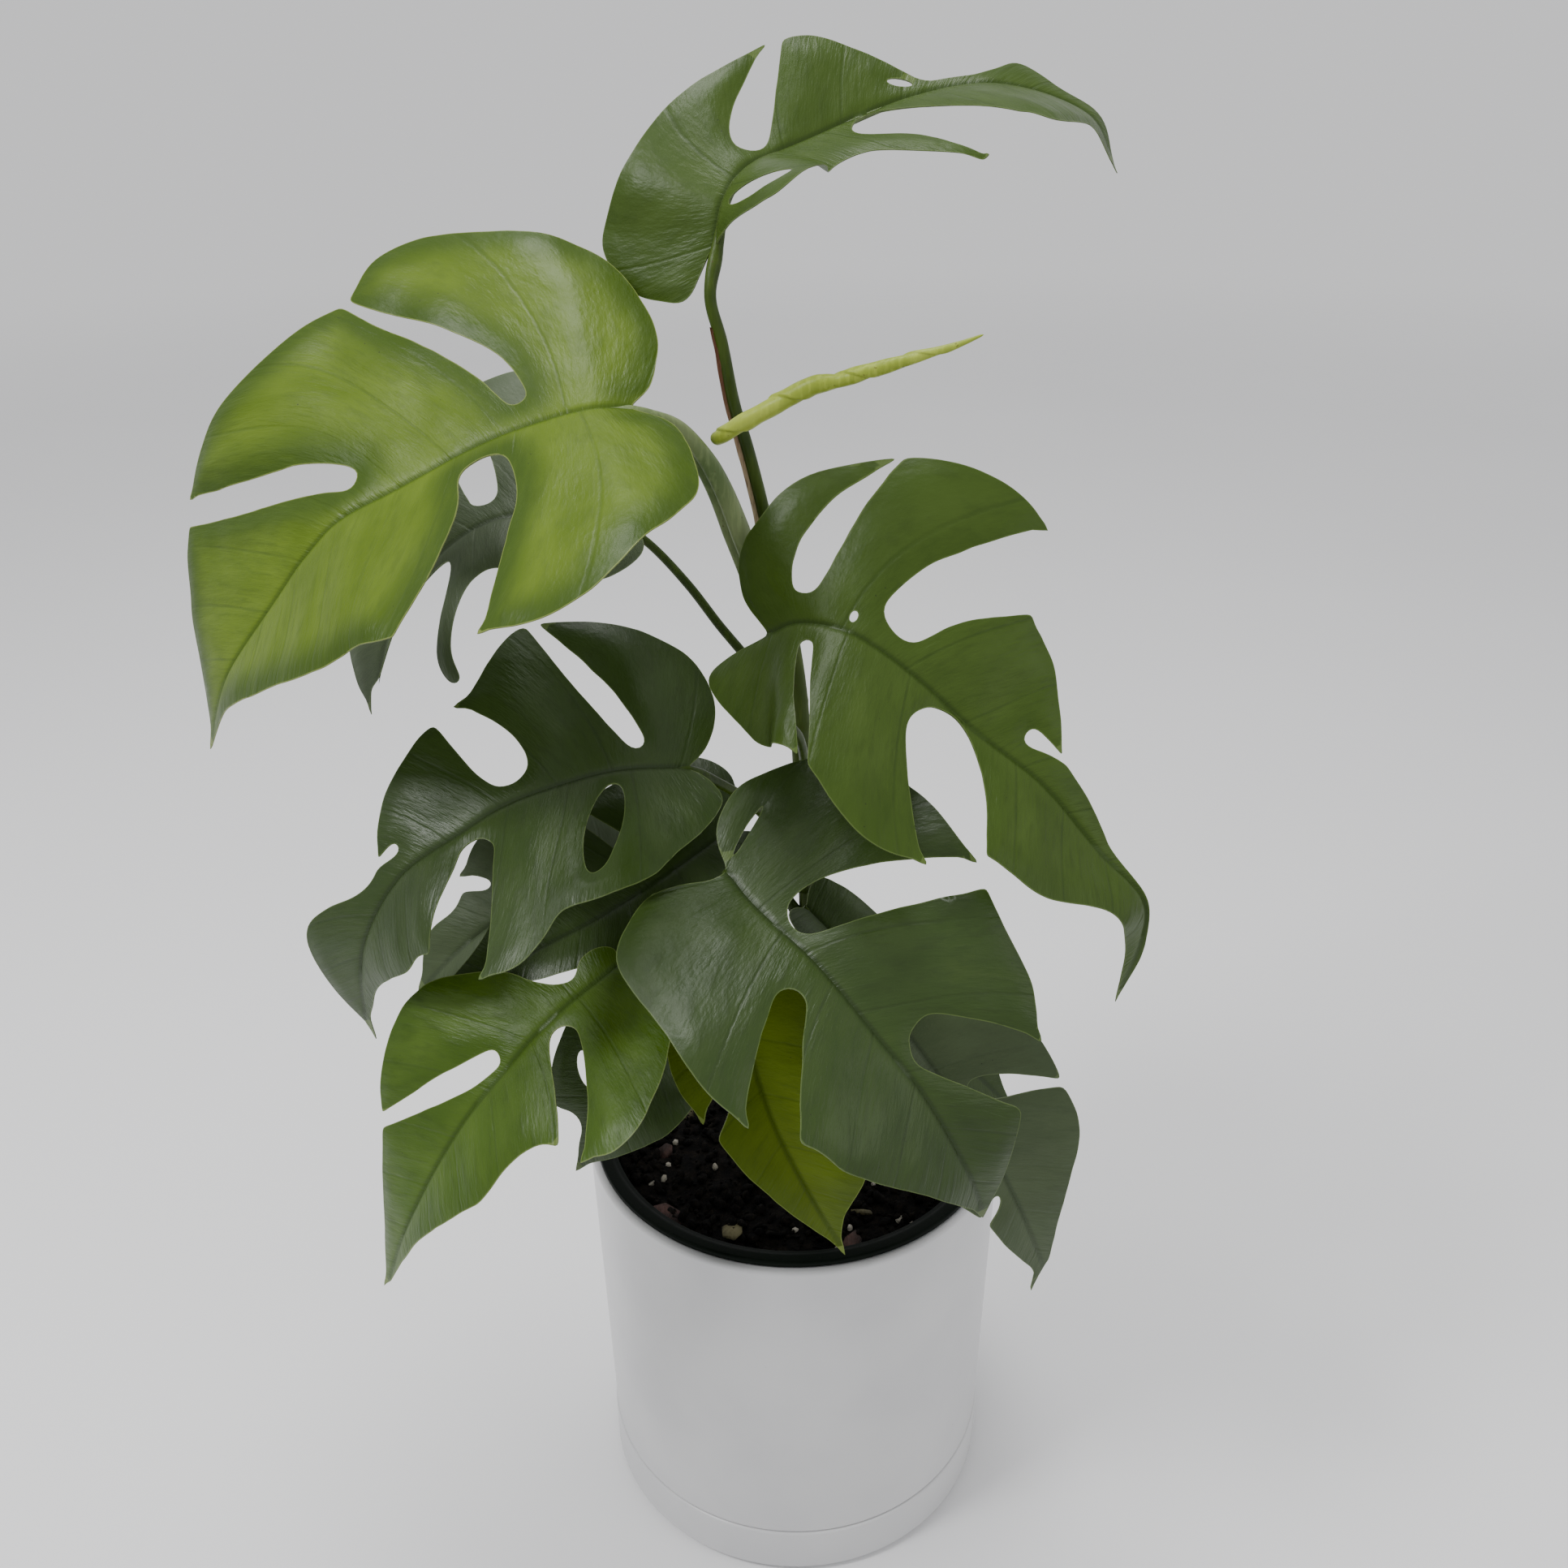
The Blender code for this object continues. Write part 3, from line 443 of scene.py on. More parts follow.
def make_bark(name, dark, light):
    finish = Finish(name, light, 0.8)
    where = finish.place()
    fibre = finish.streaks((1.0, 0.25, 1.0), 900.0, 4.0)
    layer = finish.noise(where, 120.0, 3.0)
    tone = finish.mix(layer.rise(0.35, 0.65), dark, light)
    finish.set("Base Color", finish.mix(fibre.rise(0.5, 0.7) * 0.4, tone, times(0.4, dark)))
    finish.set("Roughness", 0.65 + fibre * 0.3)
    finish.bump(fibre + layer * 0.5, 0.6)
    return finish.material


GLAZE = make_glaze()
PLASTIC = make_plastic()
MIX = make_mix()
PERLITE = make_perlite()
BARK_OLIVE = make_bark("olive_bark", (0.035, 0.03, 0.012), (0.13, 0.115, 0.05))
BARK_RED = make_bark("red_bark", (0.02, 0.008, 0.005), (0.07, 0.028, 0.02))
print("finishes:", [m.name for m in (GLAZE, PLASTIC, MIX, PERLITE, BARK_OLIVE, BARK_RED)])

# %% [markdown]
# ## Planter, saucer and nursery pot
#
# All three are turned: a profile of (radius, height) points is carried round the Z axis. A corner is
# softened by a quadratic curve that starts and ends a set distance from it, as a glazed edge is
# never sharp. The profile of a body with a drain hole is a closed line that never meets the axis, so
# the hole needs no cutting. The ring of holes in the nursery pot's floor is cut with a Boolean.

# %% Turned pieces
TURN_STEPS = 160
RIM_HEIGHT = 156.0
RIM_RADIUS = 77.6
SEAM_HEIGHT = 21.5
SEAM_RADIUS = 75.2
SAUCER_RADIUS = 75.7
SAUCER_FLOOR = 4.5
CERAMIC_WALL = 4.2
LIP_RADIUS = 75.2
PLASTIC_WALL = 1.4
NURSERY_TOP = 70.0
NURSERY_BASE = 54.0
NURSERY_FLOOR = 34.0
GAP = 0.3
DRAIN_HOLES = 6
DRAIN_RING = 34.0
DRAIN_RADIUS = 5.0


def softened(profile, steps=6):
    """The closed profile with each corner replaced by a curve. A row of profile is radius, height
    and the distance from the corner at which its curve starts."""
    profile = np.asarray(profile, float)
    corner, reach = profile[:, None, :2], profile[:, 2, None, None]
    before = corner + unit(np.roll(corner, 1, 0) - corner) * reach
    after = corner + unit(np.roll(corner, -1, 0) - corner) * reach
    t = np.linspace(0, 1, steps)[None, :, None]
    return ((1 - t) ** 2 * before + 2 * t * (1 - t) * corner + t**2 * after).reshape(-1, 2)


def turned(name, profile, node, material, steps=TURN_STEPS):
    """A closed profile carried round the Z axis: x = r cos(turn), y = r sin(turn)."""
    turn = np.linspace(0, 2 * np.pi, steps, endpoint=False)
    r, z = profile[:, :1], profile[:, 1:]
    grid = np.stack([r * np.cos(turn), r * np.sin(turn), z + 0 * turn], 2)
    points, faces = closed_grid(grid, along=True)
    return new_piece(name, points, faces, node, [material])


def make_planter():
    foot = SAUCER_RADIUS - CERAMIC_WALL - 0.8
    low, step = SAUCER_FLOOR + GAP, SEAM_HEIGHT + GAP
    profile = [
        (9.0, low, 0.8), (foot - 2.0, low, 1.0), (foot, low + 2.0, 1.0), (foot, step, 0.1),
        (SEAM_RADIUS, step, 1.0), (RIM_RADIUS, RIM_HEIGHT, 1.6),
        (RIM_RADIUS - CERAMIC_WALL, RIM_HEIGHT, 1.6),
        (foot - CERAMIC_WALL, low + CERAMIC_WALL, 4.0), (9.0, low + CERAMIC_WALL, 0.8),
    ]
    return turned("glazed_planter", softened(profile), "planter", GLAZE)


def make_saucer():
    inner = SAUCER_RADIUS - CERAMIC_WALL
    centre = 0.02
    profile = [
        (centre, 0.0, 0.0), (SAUCER_RADIUS - 3.0, 0.0, 0.3), (SAUCER_RADIUS, 2.2, 1.4),
        (SAUCER_RADIUS, SEAM_HEIGHT, 1.1), (inner, SEAM_HEIGHT, 1.1), (inner, SAUCER_FLOOR, 3.0),
        (centre, SAUCER_FLOOR, 0.0),
    ]
    return turned("glazed_saucer", softened(profile), "saucer", GLAZE)


def make_grower_pot():
    top, base, low = NURSERY_TOP, NURSERY_BASE, NURSERY_FLOOR
    seat = RIM_HEIGHT + GAP
    inside = top - PLASTIC_WALL
    profile = [
        (5.0, low, 0.3), (base, low, 2.0), (top, seat - 0.6, 0.4), (top + 0.3, seat, 0.2),
        (LIP_RADIUS, seat, 0.9), (LIP_RADIUS, seat + 2.4, 1.1), (top + 1.2, seat + 2.4, 0.6),
        (top + 0.2, seat + 1.9, 0.4), (inside, seat + 1.6, 0.6), (inside - 0.6, seat - 3.0, 0.4),
        (base - PLASTIC_WALL, low + PLASTIC_WALL, 1.6), (5.0, low + PLASTIC_WALL, 0.3),
    ]
    pot = turned("grower_pot", softened(profile), "nursery_pot", PLASTIC)
    turn = np.linspace(0, 2 * np.pi, 24, endpoint=False)
    cutters = []
    for number, centre in enumerate(np.radians(np.arange(DRAIN_HOLES) * 360.0 / DRAIN_HOLES)):
        x = DRAIN_RING * np.cos(centre) + DRAIN_RADIUS * np.cos(turn)
        y = DRAIN_RING * np.sin(centre) + DRAIN_RADIUS * np.sin(turn)
        grid = np.stack([np.stack([x, y, z + 0 * turn], 1) for z in (low - 3, low + 4)])
        points, faces = closed_grid(grid)
        mesh = bpy.data.meshes.new("drain_cutter")
        mesh.from_pydata((points * MM).tolist(), [], faces)
        cutter = bpy.data.objects.new(f"drain_cutter_{number}", mesh)
        bpy.context.scene.collection.objects.link(cutter)
        cut = pot.modifiers.new("drain", "BOOLEAN")
        cut.operation, cut.solver, cut.object = "DIFFERENCE", "EXACT", cutter
        cutters.append(cutter)
    graph = bpy.context.evaluated_depsgraph_get()
    solid = bpy.data.meshes.new_from_object(pot.evaluated_get(graph))
    pot.modifiers.clear()
    pot.data = solid
    for cutter in cutters:
        bpy.data.objects.remove(cutter, do_unlink=True)
    return pot


planter = make_planter()
saucer = make_saucer()
grower_pot = make_grower_pot()
print("holder faces:", [len(p.data.polygons) for p in (planter, saucer, grower_pot)])

# %% [markdown]
# ## The potting mix
#
# The bed of mix is one closed surface: rings of points from the middle out, whose height is smooth
# noise at three sizes, then down the wall and back under to the middle. On it lie loose pieces. One
# small lumpy stone is copied many times as whole arrays: each copy gets its own turn, its own three
# sizes and its own place. The turns are random unit quaternions, and all random numbers are seeded.

# %% Potting mix
SOIL_HEIGHT = 145.0
SOIL_LOW = NURSERY_FLOOR + PLASTIC_WALL + GAP
TOP_RINGS = 80


def soil_radius(z):
    """The clear radius inside the nursery pot at a height."""
    slope = (NURSERY_TOP - NURSERY_BASE) / (RIM_HEIGHT - NURSERY_FLOOR)
    return NURSERY_BASE + slope * (z - NURSERY_FLOOR) - PLASTIC_WALL - GAP


def soil_top(x, y):
    """The height of the bed: a low crown, plus noise whose lumps are 22, 7 and 2.6 mm wide."""
    crown = 2.0 * (1 - (x**2 + y**2) / soil_radius(SOIL_HEIGHT) ** 2)
    rough = 1.1 * swell(x, y, 22, 1) + 1.0 * swell(x, y, 7, 2) + 0.6 * swell(x, y, 2.6, 3)
    return SOIL_HEIGHT - 0.6 + crown + rough


def make_soil():
    turn = np.linspace(0, 2 * np.pi, 220, endpoint=False)
    edge = soil_radius(SOIL_HEIGHT)
    under = [SOIL_HEIGHT - 4, 100.0, SOIL_LOW + 2, SOIL_LOW, SOIL_LOW]
    wall = [edge, soil_radius(under[1]), soil_radius(under[2]), 50.0, 1.0]
    r = np.concatenate([np.linspace(0.5, edge, TOP_RINGS), wall])
    x, y = r[:, None] * np.cos(turn), r[:, None] * np.sin(turn)
    z = soil_top(x, y)
    z[TOP_RINGS:] = np.array(under)[:, None]
    points, faces = closed_grid(np.stack([x, y, z], 2))
    return new_piece("potting_mix", points, faces, "soil", [MIX])


def turned_by(quaternions, points):
    """Points turned by unit quaternions (w, v): p + 2w (v x p) + 2 v x (v x p)."""
    w, v = quaternions[:, None, :1], quaternions[:, None, 1:]
    across = np.cross(v, points)
    return points + 2 * w * across + 2 * np.cross(v, across)


def stones(name, x, y, sizes, shape, sunk, seed, material, flat=False):
    """Lumpy stones on the bed, each a small dome-ended grid with its own turn and size.

    shape is how long, wide and thick a stone is for each mm of size, and sunk how much of its size
    lies under the surface. flat keeps the thin side up.
    """
    random = np.random.default_rng(seed)
    rows, columns = 4, 6
    up = np.linspace(-0.85, 0.85, rows)[:, None]
    turn = np.linspace(0, 2 * np.pi, columns, endpoint=False)[None]
    wide = np.sqrt(1 - up**2) * np.ones((rows, columns))
    unit_stone = np.stack([wide * np.cos(turn), wide * np.sin(turn), up + 0 * turn], 2)
    one, faces = closed_grid(unit_stone)
    one[-2:, 2] *= 1.12
    count = len(x)
    lumpy = one[None] * (1 + 0.22 * random.uniform(-1, 1, (count, len(one), 1)))
    scale = sizes[:, None, None] * np.asarray(shape) * random.uniform(0.75, 1.25, (count, 1, 3)) / 2
    quaternions = random.normal(size=(count, 4))
    if flat:
        quaternions[:, 1:3] *= 0.22
    grains = turned_by(unit(quaternions), lumpy * scale)
    centre = np.stack([x, y, soil_top(x, y) + sizes * (0.3 - sunk)], 1)
    points = (grains + centre[:, None]).reshape(-1, 3)
    every = [[corner + len(one) * k for corner in face] for k in range(count) for face in faces]
    return new_piece(name, points, every, None, [material])


def scattered(count, inner, outer, seed):
    """Places spread evenly over a ring: the radius is the root of an even draw."""
    random = np.random.default_rng(seed)
    r = np.sqrt(random.uniform(inner**2, outer**2, count))
    turn = random.uniform(0, 2 * np.pi, count)
    x, y = r * np.cos(turn), r * np.sin(turn)
    clear = np.hypot(x - 6, y + 2) > 7
    return x[clear], y[clear]


soil = make_soil()
reach = soil_radius(SOIL_HEIGHT) - 3.5
x, y = scattered(1500, 0, reach, 21)
crumbs = stones("mix_crumbs", x, y, 1.2 + 4.2 * np.random.default_rng(22).random(len(x)) ** 2.2,
                (1.2, 0.8, 0.6), 0.1, 23, MIX)
x, y = scattered(48, 8, reach - 1, 32)
perlite = stones("perlite_grains", x, y, 1.5 + 2.2 * np.random.default_rng(32).random(len(x)),
                 (1.0, 0.9, 0.8), 0.12, 33, PERLITE)
chips_x = np.array([-22.0, 24, 40, -8, 12, -44, 52, -30, 33])
chips_y = np.array([-47.0, -38, 22, 45, -58, 20, -12, 42, 46])
chips = stones("bark_chips", chips_x, chips_y, np.array([12.0, 9, 10, 11, 8, 9, 8, 8, 10]),
               (1.3, 0.75, 0.28), 0.22, 43, BARK_OLIVE, flat=True)
chips_x = np.array([-47.0, 20, -18, 30, 48, -50, 3])
chips_y = np.array([-40.0, -52, 50, 4, 34, -5, 30])
red_chips = stones("red_bark_chips", chips_x, chips_y, np.array([12.0, 9, 10, 9, 8, 9, 10]),
                   (1.3, 0.8, 0.3), 0.2, 45, BARK_RED, flat=True)
loose = (crumbs, perlite, chips, red_chips)
print("loose pieces on the mix:", [len(piece.data.polygons) for piece in loose])

# %% [markdown]
# ## How a leaf is laid
#
# A leaf of this plant is a flat blade that has been bent. Its outline, its splits and its holes are
# drawn flat, with x across and y along the midrib from the stalk to the tip. Then each flat point is
# carried to its place: the midrib follows a smooth curve in space, each half rises from it by a fold
# angle, and may curl as it goes out. Drawing flat keeps the proportions of the real blade, whatever
# its pose, and the flat (x, y) is also the map that the colours and veins are painted on.


# %% Rib and flat outline
class Rib:
    """The bent frame of a blade: midrib points, directions its upper face looks in, fold and curl."""

    def __init__(self, points, faces, fold, curl):
        path = through(points, 1.0)
        distance = travelled(path)
        self.length = distance[-1]
        self.at = np.linspace(0, self.length, 160)
        self.path = np.stack([np.interp(self.at, distance, path[:, k]) for k in range(3)], 1)
        self.along = unit(self.mean(np.gradient(self.path, self.at, axis=0)))
        faces = unit(np.asarray(faces, float))
        knots = np.linspace(0, self.length, len(faces))
        up = self.mean(np.stack([np.interp(self.at, knots, faces[:, k]) for k in range(3)], 1), 12)
        self.up = unit(up - (up * self.along).sum(1, keepdims=True) * self.along)
        self.fold = np.radians(fold)
        self.curl = np.radians(curl) / 100

    @staticmethod
    def mean(values, reach=8):
        """The running mean over 2 * reach + 1 rows."""
        padded = np.pad(values, ((reach, reach), (0, 0)), mode="edge")
        return sum(padded[i : i + len(values)] for i in range(2 * reach + 1)) / (2 * reach + 1)

    def read(self, table, y):
        return np.stack([np.interp(y, self.at, table[:, k]) for k in range(3)], 1)

    def lay(self, flat):
        """The bent places of flat (x, y) points: an arc from the midrib, with the fold as its first
        angle and the curl as its bend. Past either end the blade goes straight on."""
        x, y = flat[:, 0], flat[:, 1]
        held = np.clip(y, 0, self.length)
        along = unit(self.read(self.along, held))
        up = self.read(self.up, held)
        up = unit(up - (up * along).sum(1, keepdims=True) * along)
        half = (x > 0).astype(int)
        share = np.clip(y / self.length, 0, 1)
        start = self.fold[0] * (1 - share) + self.fold[1] * share
        bend = np.where(np.abs(self.curl[half]) < 1e-6, 1e-6, self.curl[half])
        end = start + bend * np.abs(x)
        out = np.where(x > 0, 1, -1) * (np.sin(end) - np.sin(start)) / bend
        rise = (np.cos(start) - np.cos(end)) / bend
        place = self.read(self.path, held) + (y - held)[:, None] * along
        return place + out[:, None] * np.cross(along, up) + rise[:, None] * up

    def normal(self, flat, step=0.6):
        """The upper face's direction: the cross product of small steps across and along."""
        across = self.lay(flat + (step, 0)) - self.lay(flat - (step, 0))
        onward = self.lay(flat + (0, step)) - self.lay(flat - (0, step))
        return unit(np.cross(across, onward))


EDGE_STEP = 1.6
GRID_STEP = 2.3
RIB_STEP = 2.0
CORNER_MOUTH = 4.0


def split_edge(root, bend, mouth, wide, mouth_wide):
    """The edge of one split: a round root, a middle that is wide across, and an open mouth."""
    root, bend, mouth = (np.asarray(p, float) for p in (root, bend, mouth))
    way, start = unit(mouth - bend), unit(bend - root)
    across, first = np.array([-way[1], way[0]]), np.array([-start[1], start[0]])
    middle = unit(across + first)
    beyond = mouth + 8 * way
    left = [root - 0.2 * wide * start, root + 0.38 * wide * first, bend + 0.5 * wide * middle,
            mouth + 0.5 * mouth_wide * across, beyond + 0.5 * mouth_wide * across]
    right = [beyond - 0.5 * mouth_wide * across, mouth - 0.5 * mouth_wide * across,
             bend - 0.5 * wide * middle, root - 0.38 * wide * first, root - 0.2 * wide * start]
    return np.vstack([through(left, EDGE_STEP)[:-1], through(right, EDGE_STEP)[:-1]])


def hole_edge(centre, length, width, turn):
    """An oval hole: x and y are half its length and width times cosine and sine, turned."""
    a = np.linspace(0, 2 * np.pi, max(16, int(2.4 * length / EDGE_STEP)), endpoint=False)
    t = np.radians(turn)
    x, y = length / 2 * np.cos(a)[:, None], width / 2 * np.sin(a)[:, None]
    along, across = np.array([np.cos(t), np.sin(t)]), np.array([-np.sin(t), np.cos(t)])
    return np.asarray(centre) + x * along + y * across


def anticlockwise(loop):
    """The loop, turned to run anticlockwise, which is where its signed area is positive."""
    x, y = loop.T
    return loop if np.sum(x * np.roll(y, -1) - np.roll(x, -1) * y) > 0 else loop[::-1]


def inside(points, starts, ends):
    """Whether a line to the right of each point crosses the edges an odd number of times."""
    x, y = points[:, :1], points[:, 1:]
    crosses = (starts[:, 1] > y) != (ends[:, 1] > y)
    run, tall = (ends - starts).T
    reach = starts[:, 0] + (y - starts[:, 1]) / np.where(tall == 0, 1e-9, tall) * run
    return ((reach > x) & crosses).sum(1) % 2 == 1


def cut_outline(spec, length):
    """The blade's outline less its splits and holes, as points and directed edges."""
    tip = (0.0, length)
    left = through([(0, 0), *spec["left"], tip], EDGE_STEP)[:-1]
    right = through([tip, *reversed(spec["right"]), (0, 0)], EDGE_STEP)[:-1]
    loops = [np.vstack([left, right])]
    loops += [split_edge(*cut) for cut in spec.get("cuts", [])]
    loops += [hole_edge(*hole) for hole in spec.get("holes", [])]
    loops = [anticlockwise(loop) for loop in loops]
    firsts = np.cumsum([0] + [len(loop) for loop in loops])
    rings = [list(range(a, b)) for a, b in zip(firsts, firsts[1:])]
    found = delaunay_2d_cdt(list(map(Vector, np.vstack(loops).tolist())), [], rings, 0, 1e-4)
    points = np.array([tuple(p) for p in found[0]])
    kept = np.array([face for face, ring in zip(found[2], found[5]) if list(ring) == [0]])
    edges = np.vstack([kept[:, [0, 1]], kept[:, [1, 2]], kept[:, [2, 0]]])
    code, back = edges @ (len(points), 1), edges[:, ::-1] @ (len(points), 1)
    return points, edges[~np.isin(code, back)]


def eased(spec, points, edges, tip, rounds=3):
    """The outline made natural. Each point moves towards the mean of its neighbours, less near the
    tip, and wanders a little. The tip is drawn out to the narrow point that sheds water, and the
    far corner of each lobe gets a small one too, where the split beside it is wide enough."""
    after, before = np.arange(len(points)), np.arange(len(points))
    after[edges[:, 0]], before[edges[:, 1]] = edges[:, 1], edges[:, 0]
    turn = 1 - (unit(points[after] - points + 1e-9) * unit(points - points[before] + 1e-9)).sum(1)
    corners = []
    for _, bend, mouth, _, mouth_wide in spec.get("cuts", []):
        way = unit(np.subtract(mouth, bend))
        across = np.array([-way[1], way[0]]) * np.sign(way[0])
        apart = np.linalg.norm(points - (mouth - 0.5 * mouth_wide * across), axis=1)
        if mouth_wide > CORNER_MOUTH:
            sharpest = np.argmax(turn * np.exp(-((apart / 5) ** 2)))
            corners.append((sharpest, 0.25 * np.sign(mouth[0])))
    distance = np.linalg.norm(points - tip, axis=1)
    share = 0.5 * ramp(distance, 1, 7)[:, None]
    for _ in range(rounds):
        points = points + share * ((points[after] + points[before]) / 2 - points)
    x, y = points.T
    wander = [0.5 * swell(x, y, 9, seed) + 0.22 * swell(x, y, 4, seed + 5) for seed in (71, 72)]
    points = points + share * np.stack(wander, 1)
    moved = points.copy()
    for corner, outward in corners:
        near = np.exp(-((np.linalg.norm(points - points[corner], axis=1) / 1.5) ** 2))[:, None]
        moved += near * np.array([[outward * 1.5, 2.2]])
    pull = np.exp(-((distance / 3.2) ** 2))[:, None]
    return moved + pull * np.array([spec.get("hook", (0.4, 2.6))])


def blade_net(spec, length):
    """Flat points and triangles of a blade, and each point's distance to its margin.

    The net is a grid of even triangles, with rows close to the midrib, joined to the outline. Of
    the triangles that fill the convex shape, those whose middle lies inside the outline are kept.
    """
    points, edges = cut_outline(spec, length)
    points = eased(spec, points, edges, (0.0, length))
    used, edges = np.unique(edges, return_inverse=True)
    margin, edges = points[used], edges.reshape(-1, 2)
    starts, ends = margin[edges[:, 0]], margin[edges[:, 1]]

    def to_edge(places):
        return np.linalg.norm(places[:, None] - margin[None], axis=2).min(1)

    low, high = margin.min(0), margin.max(0)
    rows = np.arange(low[1], high[1], GRID_STEP * 0.87)
    x, y = np.meshgrid(np.arange(low[0], high[0], GRID_STEP), rows)
    x = x + np.where(np.arange(len(rows)) % 2, GRID_STEP / 2, 0)[:, None]
    inner = np.stack([x.ravel(), y.ravel()], 1)
    inner = inner[np.abs(inner[:, 0]) > 3.4]
    rib_y = np.arange(2.5, length - 2.5, RIB_STEP)
    near = np.array([-2.2, -1.0, 1.0, 2.2])
    beside = np.stack([np.tile(near, len(rib_y)), np.repeat(rib_y, len(near))], 1)
    inner = np.vstack([inner, beside])
    inner = inner[inside(inner, starts, ends)]
    inner = inner[to_edge(inner) > 0.45 * EDGE_STEP]
    rib = np.stack([0 * rib_y, rib_y], 1)
    rib = rib[inside(rib, starts, ends) & (to_edge(rib) > 0.7)]
    chain = np.stack([np.arange(len(rib) - 1), np.arange(1, len(rib))], 1)
    unbroken = np.linalg.norm(rib[chain[:, 0]] - rib[chain[:, 1]], axis=1) < 1.5 * RIB_STEP
    lines = np.vstack([edges, chain[unbroken] + len(margin)]).tolist()
    every = list(map(Vector, np.vstack([margin, rib, inner]).tolist()))
    found = delaunay_2d_cdt(every, lines, [], 0, 1e-5)
    flat = np.array([tuple(p) for p in found[0]])
    triangles = np.array(found[2])
    middle = flat[triangles].mean(1)
    a, b, c = (flat[triangles[:, k]] for k in range(3))
    triangles = triangles[inside(middle, starts, ends) & (np.cross(b - a, c - a) > 1e-4)]
    used, triangles = np.unique(triangles, return_inverse=True)
    return flat[used], triangles.reshape(-1, 3), to_edge(flat[used])


print("a split has", len(split_edge((0, 10), (10, 12), (30, 20), 8, 10)), "edge points")

# %% [markdown]
# ## Veins
#
# Side veins leave the midrib at an angle that grows more acute towards the tip, and bend up towards
# the margin: y = start + slope |x| + bow x^2. A split lies halfway between two veins, so the starts
# are set between the splits. The vein number of a point is a smooth value that is whole on a vein
# and runs evenly between two. Its steepness gives the space between veins at that point, and so the
# distance to the nearest vein in millimetres, which the shader draws the vein with.

# %% Vein numbers
VEIN_BOW = 0.004
VEIN_SPACE = 19.0
SLOPE_AT = (-0.1, 0.02, 0.2, 0.6, 1.0)
SLOPES = (-1.1, -0.35, 0.3, 0.6, 1.15)


def vein_starts(spec, side, length):
    """Where the veins of one side leave the midrib, with each split halfway between two."""
    roots = [np.array(cut[0], float) for cut in spec.get("cuts", []) if np.sign(cut[0][0]) == side]
    slopes = [np.interp(root[1] / length, SLOPE_AT, SLOPES) for root in roots]
    splits = sorted(root[1] - slope * abs(root[0]) for root, slope in zip(roots, slopes))
    ends = np.array([-0.07 * length, *splits, 0.97 * length])
    starts = []
    for low, high in zip(ends, ends[1:]):
        count = max(1, round((high - low) / VEIN_SPACE))
        starts.extend(low + (np.arange(count) + 0.5) * (high - low) / count)
    return np.array(starts)


def vein_number(starts, length, across, y):
    """A value that is k on vein k and runs evenly between veins, also past the first and last."""
    slope = np.interp(starts / length, SLOPE_AT, SLOPES)[:, None]
    lines = starts[:, None] + slope * across + VEIN_BOW * across**2
    space = np.maximum(np.diff(lines, axis=0), 2.0)
    number = np.clip((y - lines[:-1]) / space, 0, 1).sum(0)
    before = np.minimum((y - lines[0]) / space[0], 0)
    return number + before + np.maximum((y - lines[-1]) / space[-1], 0)


def vein_map(spec, length, x, y, side):
    """The vein number and the space between veins, for points taken as lying on one side each."""
    number, space = np.zeros(len(x)), np.ones(len(x))
    for one in (-1, 1):
        here = side == one
        starts = vein_starts(spec, one, length)

        def at(dx, dy):
            return vein_number(starts, length, np.abs(x[here]) + dx, y[here] + dy)

        steep = np.hypot(at(0.5, 0) - at(-0.5, 0), at(0, 0.5) - at(0, -0.5))
        number[here], space[here] = at(0, 0), 1 / np.maximum(steep, 0.02)
    return number, np.clip(space, 2, 30)


print("veins of a plain 100 mm side:", len(vein_starts({}, 1, 100.0)))

# %% [markdown]
# ## The blade as a closed body
#
# The laid surface is the upper face. It is relieved a little along its own normal: the surface
# between two veins bulges, the margin waves, and the midrib lies in a groove. The lower face is the
# same net moved down by the blade's thickness, which falls from the midrib to the margin, and a
# narrow band of faces along the margin joins the two. Each face corner gets three maps: the flat
# place, the vein number with the space between veins, and the distance to the margin.


# %% Blades
PLAIN_FOLD = (10, 10)


def relief(spec, rib, flat, to_margin, wave, seed):
    """How far the upper face stands above the laid surface, in millimetres."""
    x, y = flat.T
    side = np.where(x > 0, 1, -1)
    number, space = vein_map(spec, rib.length, x, y, side)
    between = np.sin(np.pi * number) ** 2
    quilt = 0.035 * np.minimum(space, 16) * between * ramp(np.abs(x), 2, 14) * ramp(to_margin, 0, 8)
    pucker = 0.16 * swell(x, y, 8, seed + 2) * ramp(to_margin, 0, 5)
    groove = -0.5 * np.exp(-((x / 0.9) ** 2)) * ramp(rib.length - y, 0, 30)
    outer = (np.abs(x) / 45) ** 1.3
    waves = 0.8 * swell(x, y, 30, seed) + 0.5 * swell(x, y, 15, seed + 1)
    rolling = wave * waves * np.minimum(outer, 1.2)
    edge_roll = -0.5 * (1 - ramp(to_margin, 0, 4))
    return quilt + pucker + groove + rolling + edge_roll


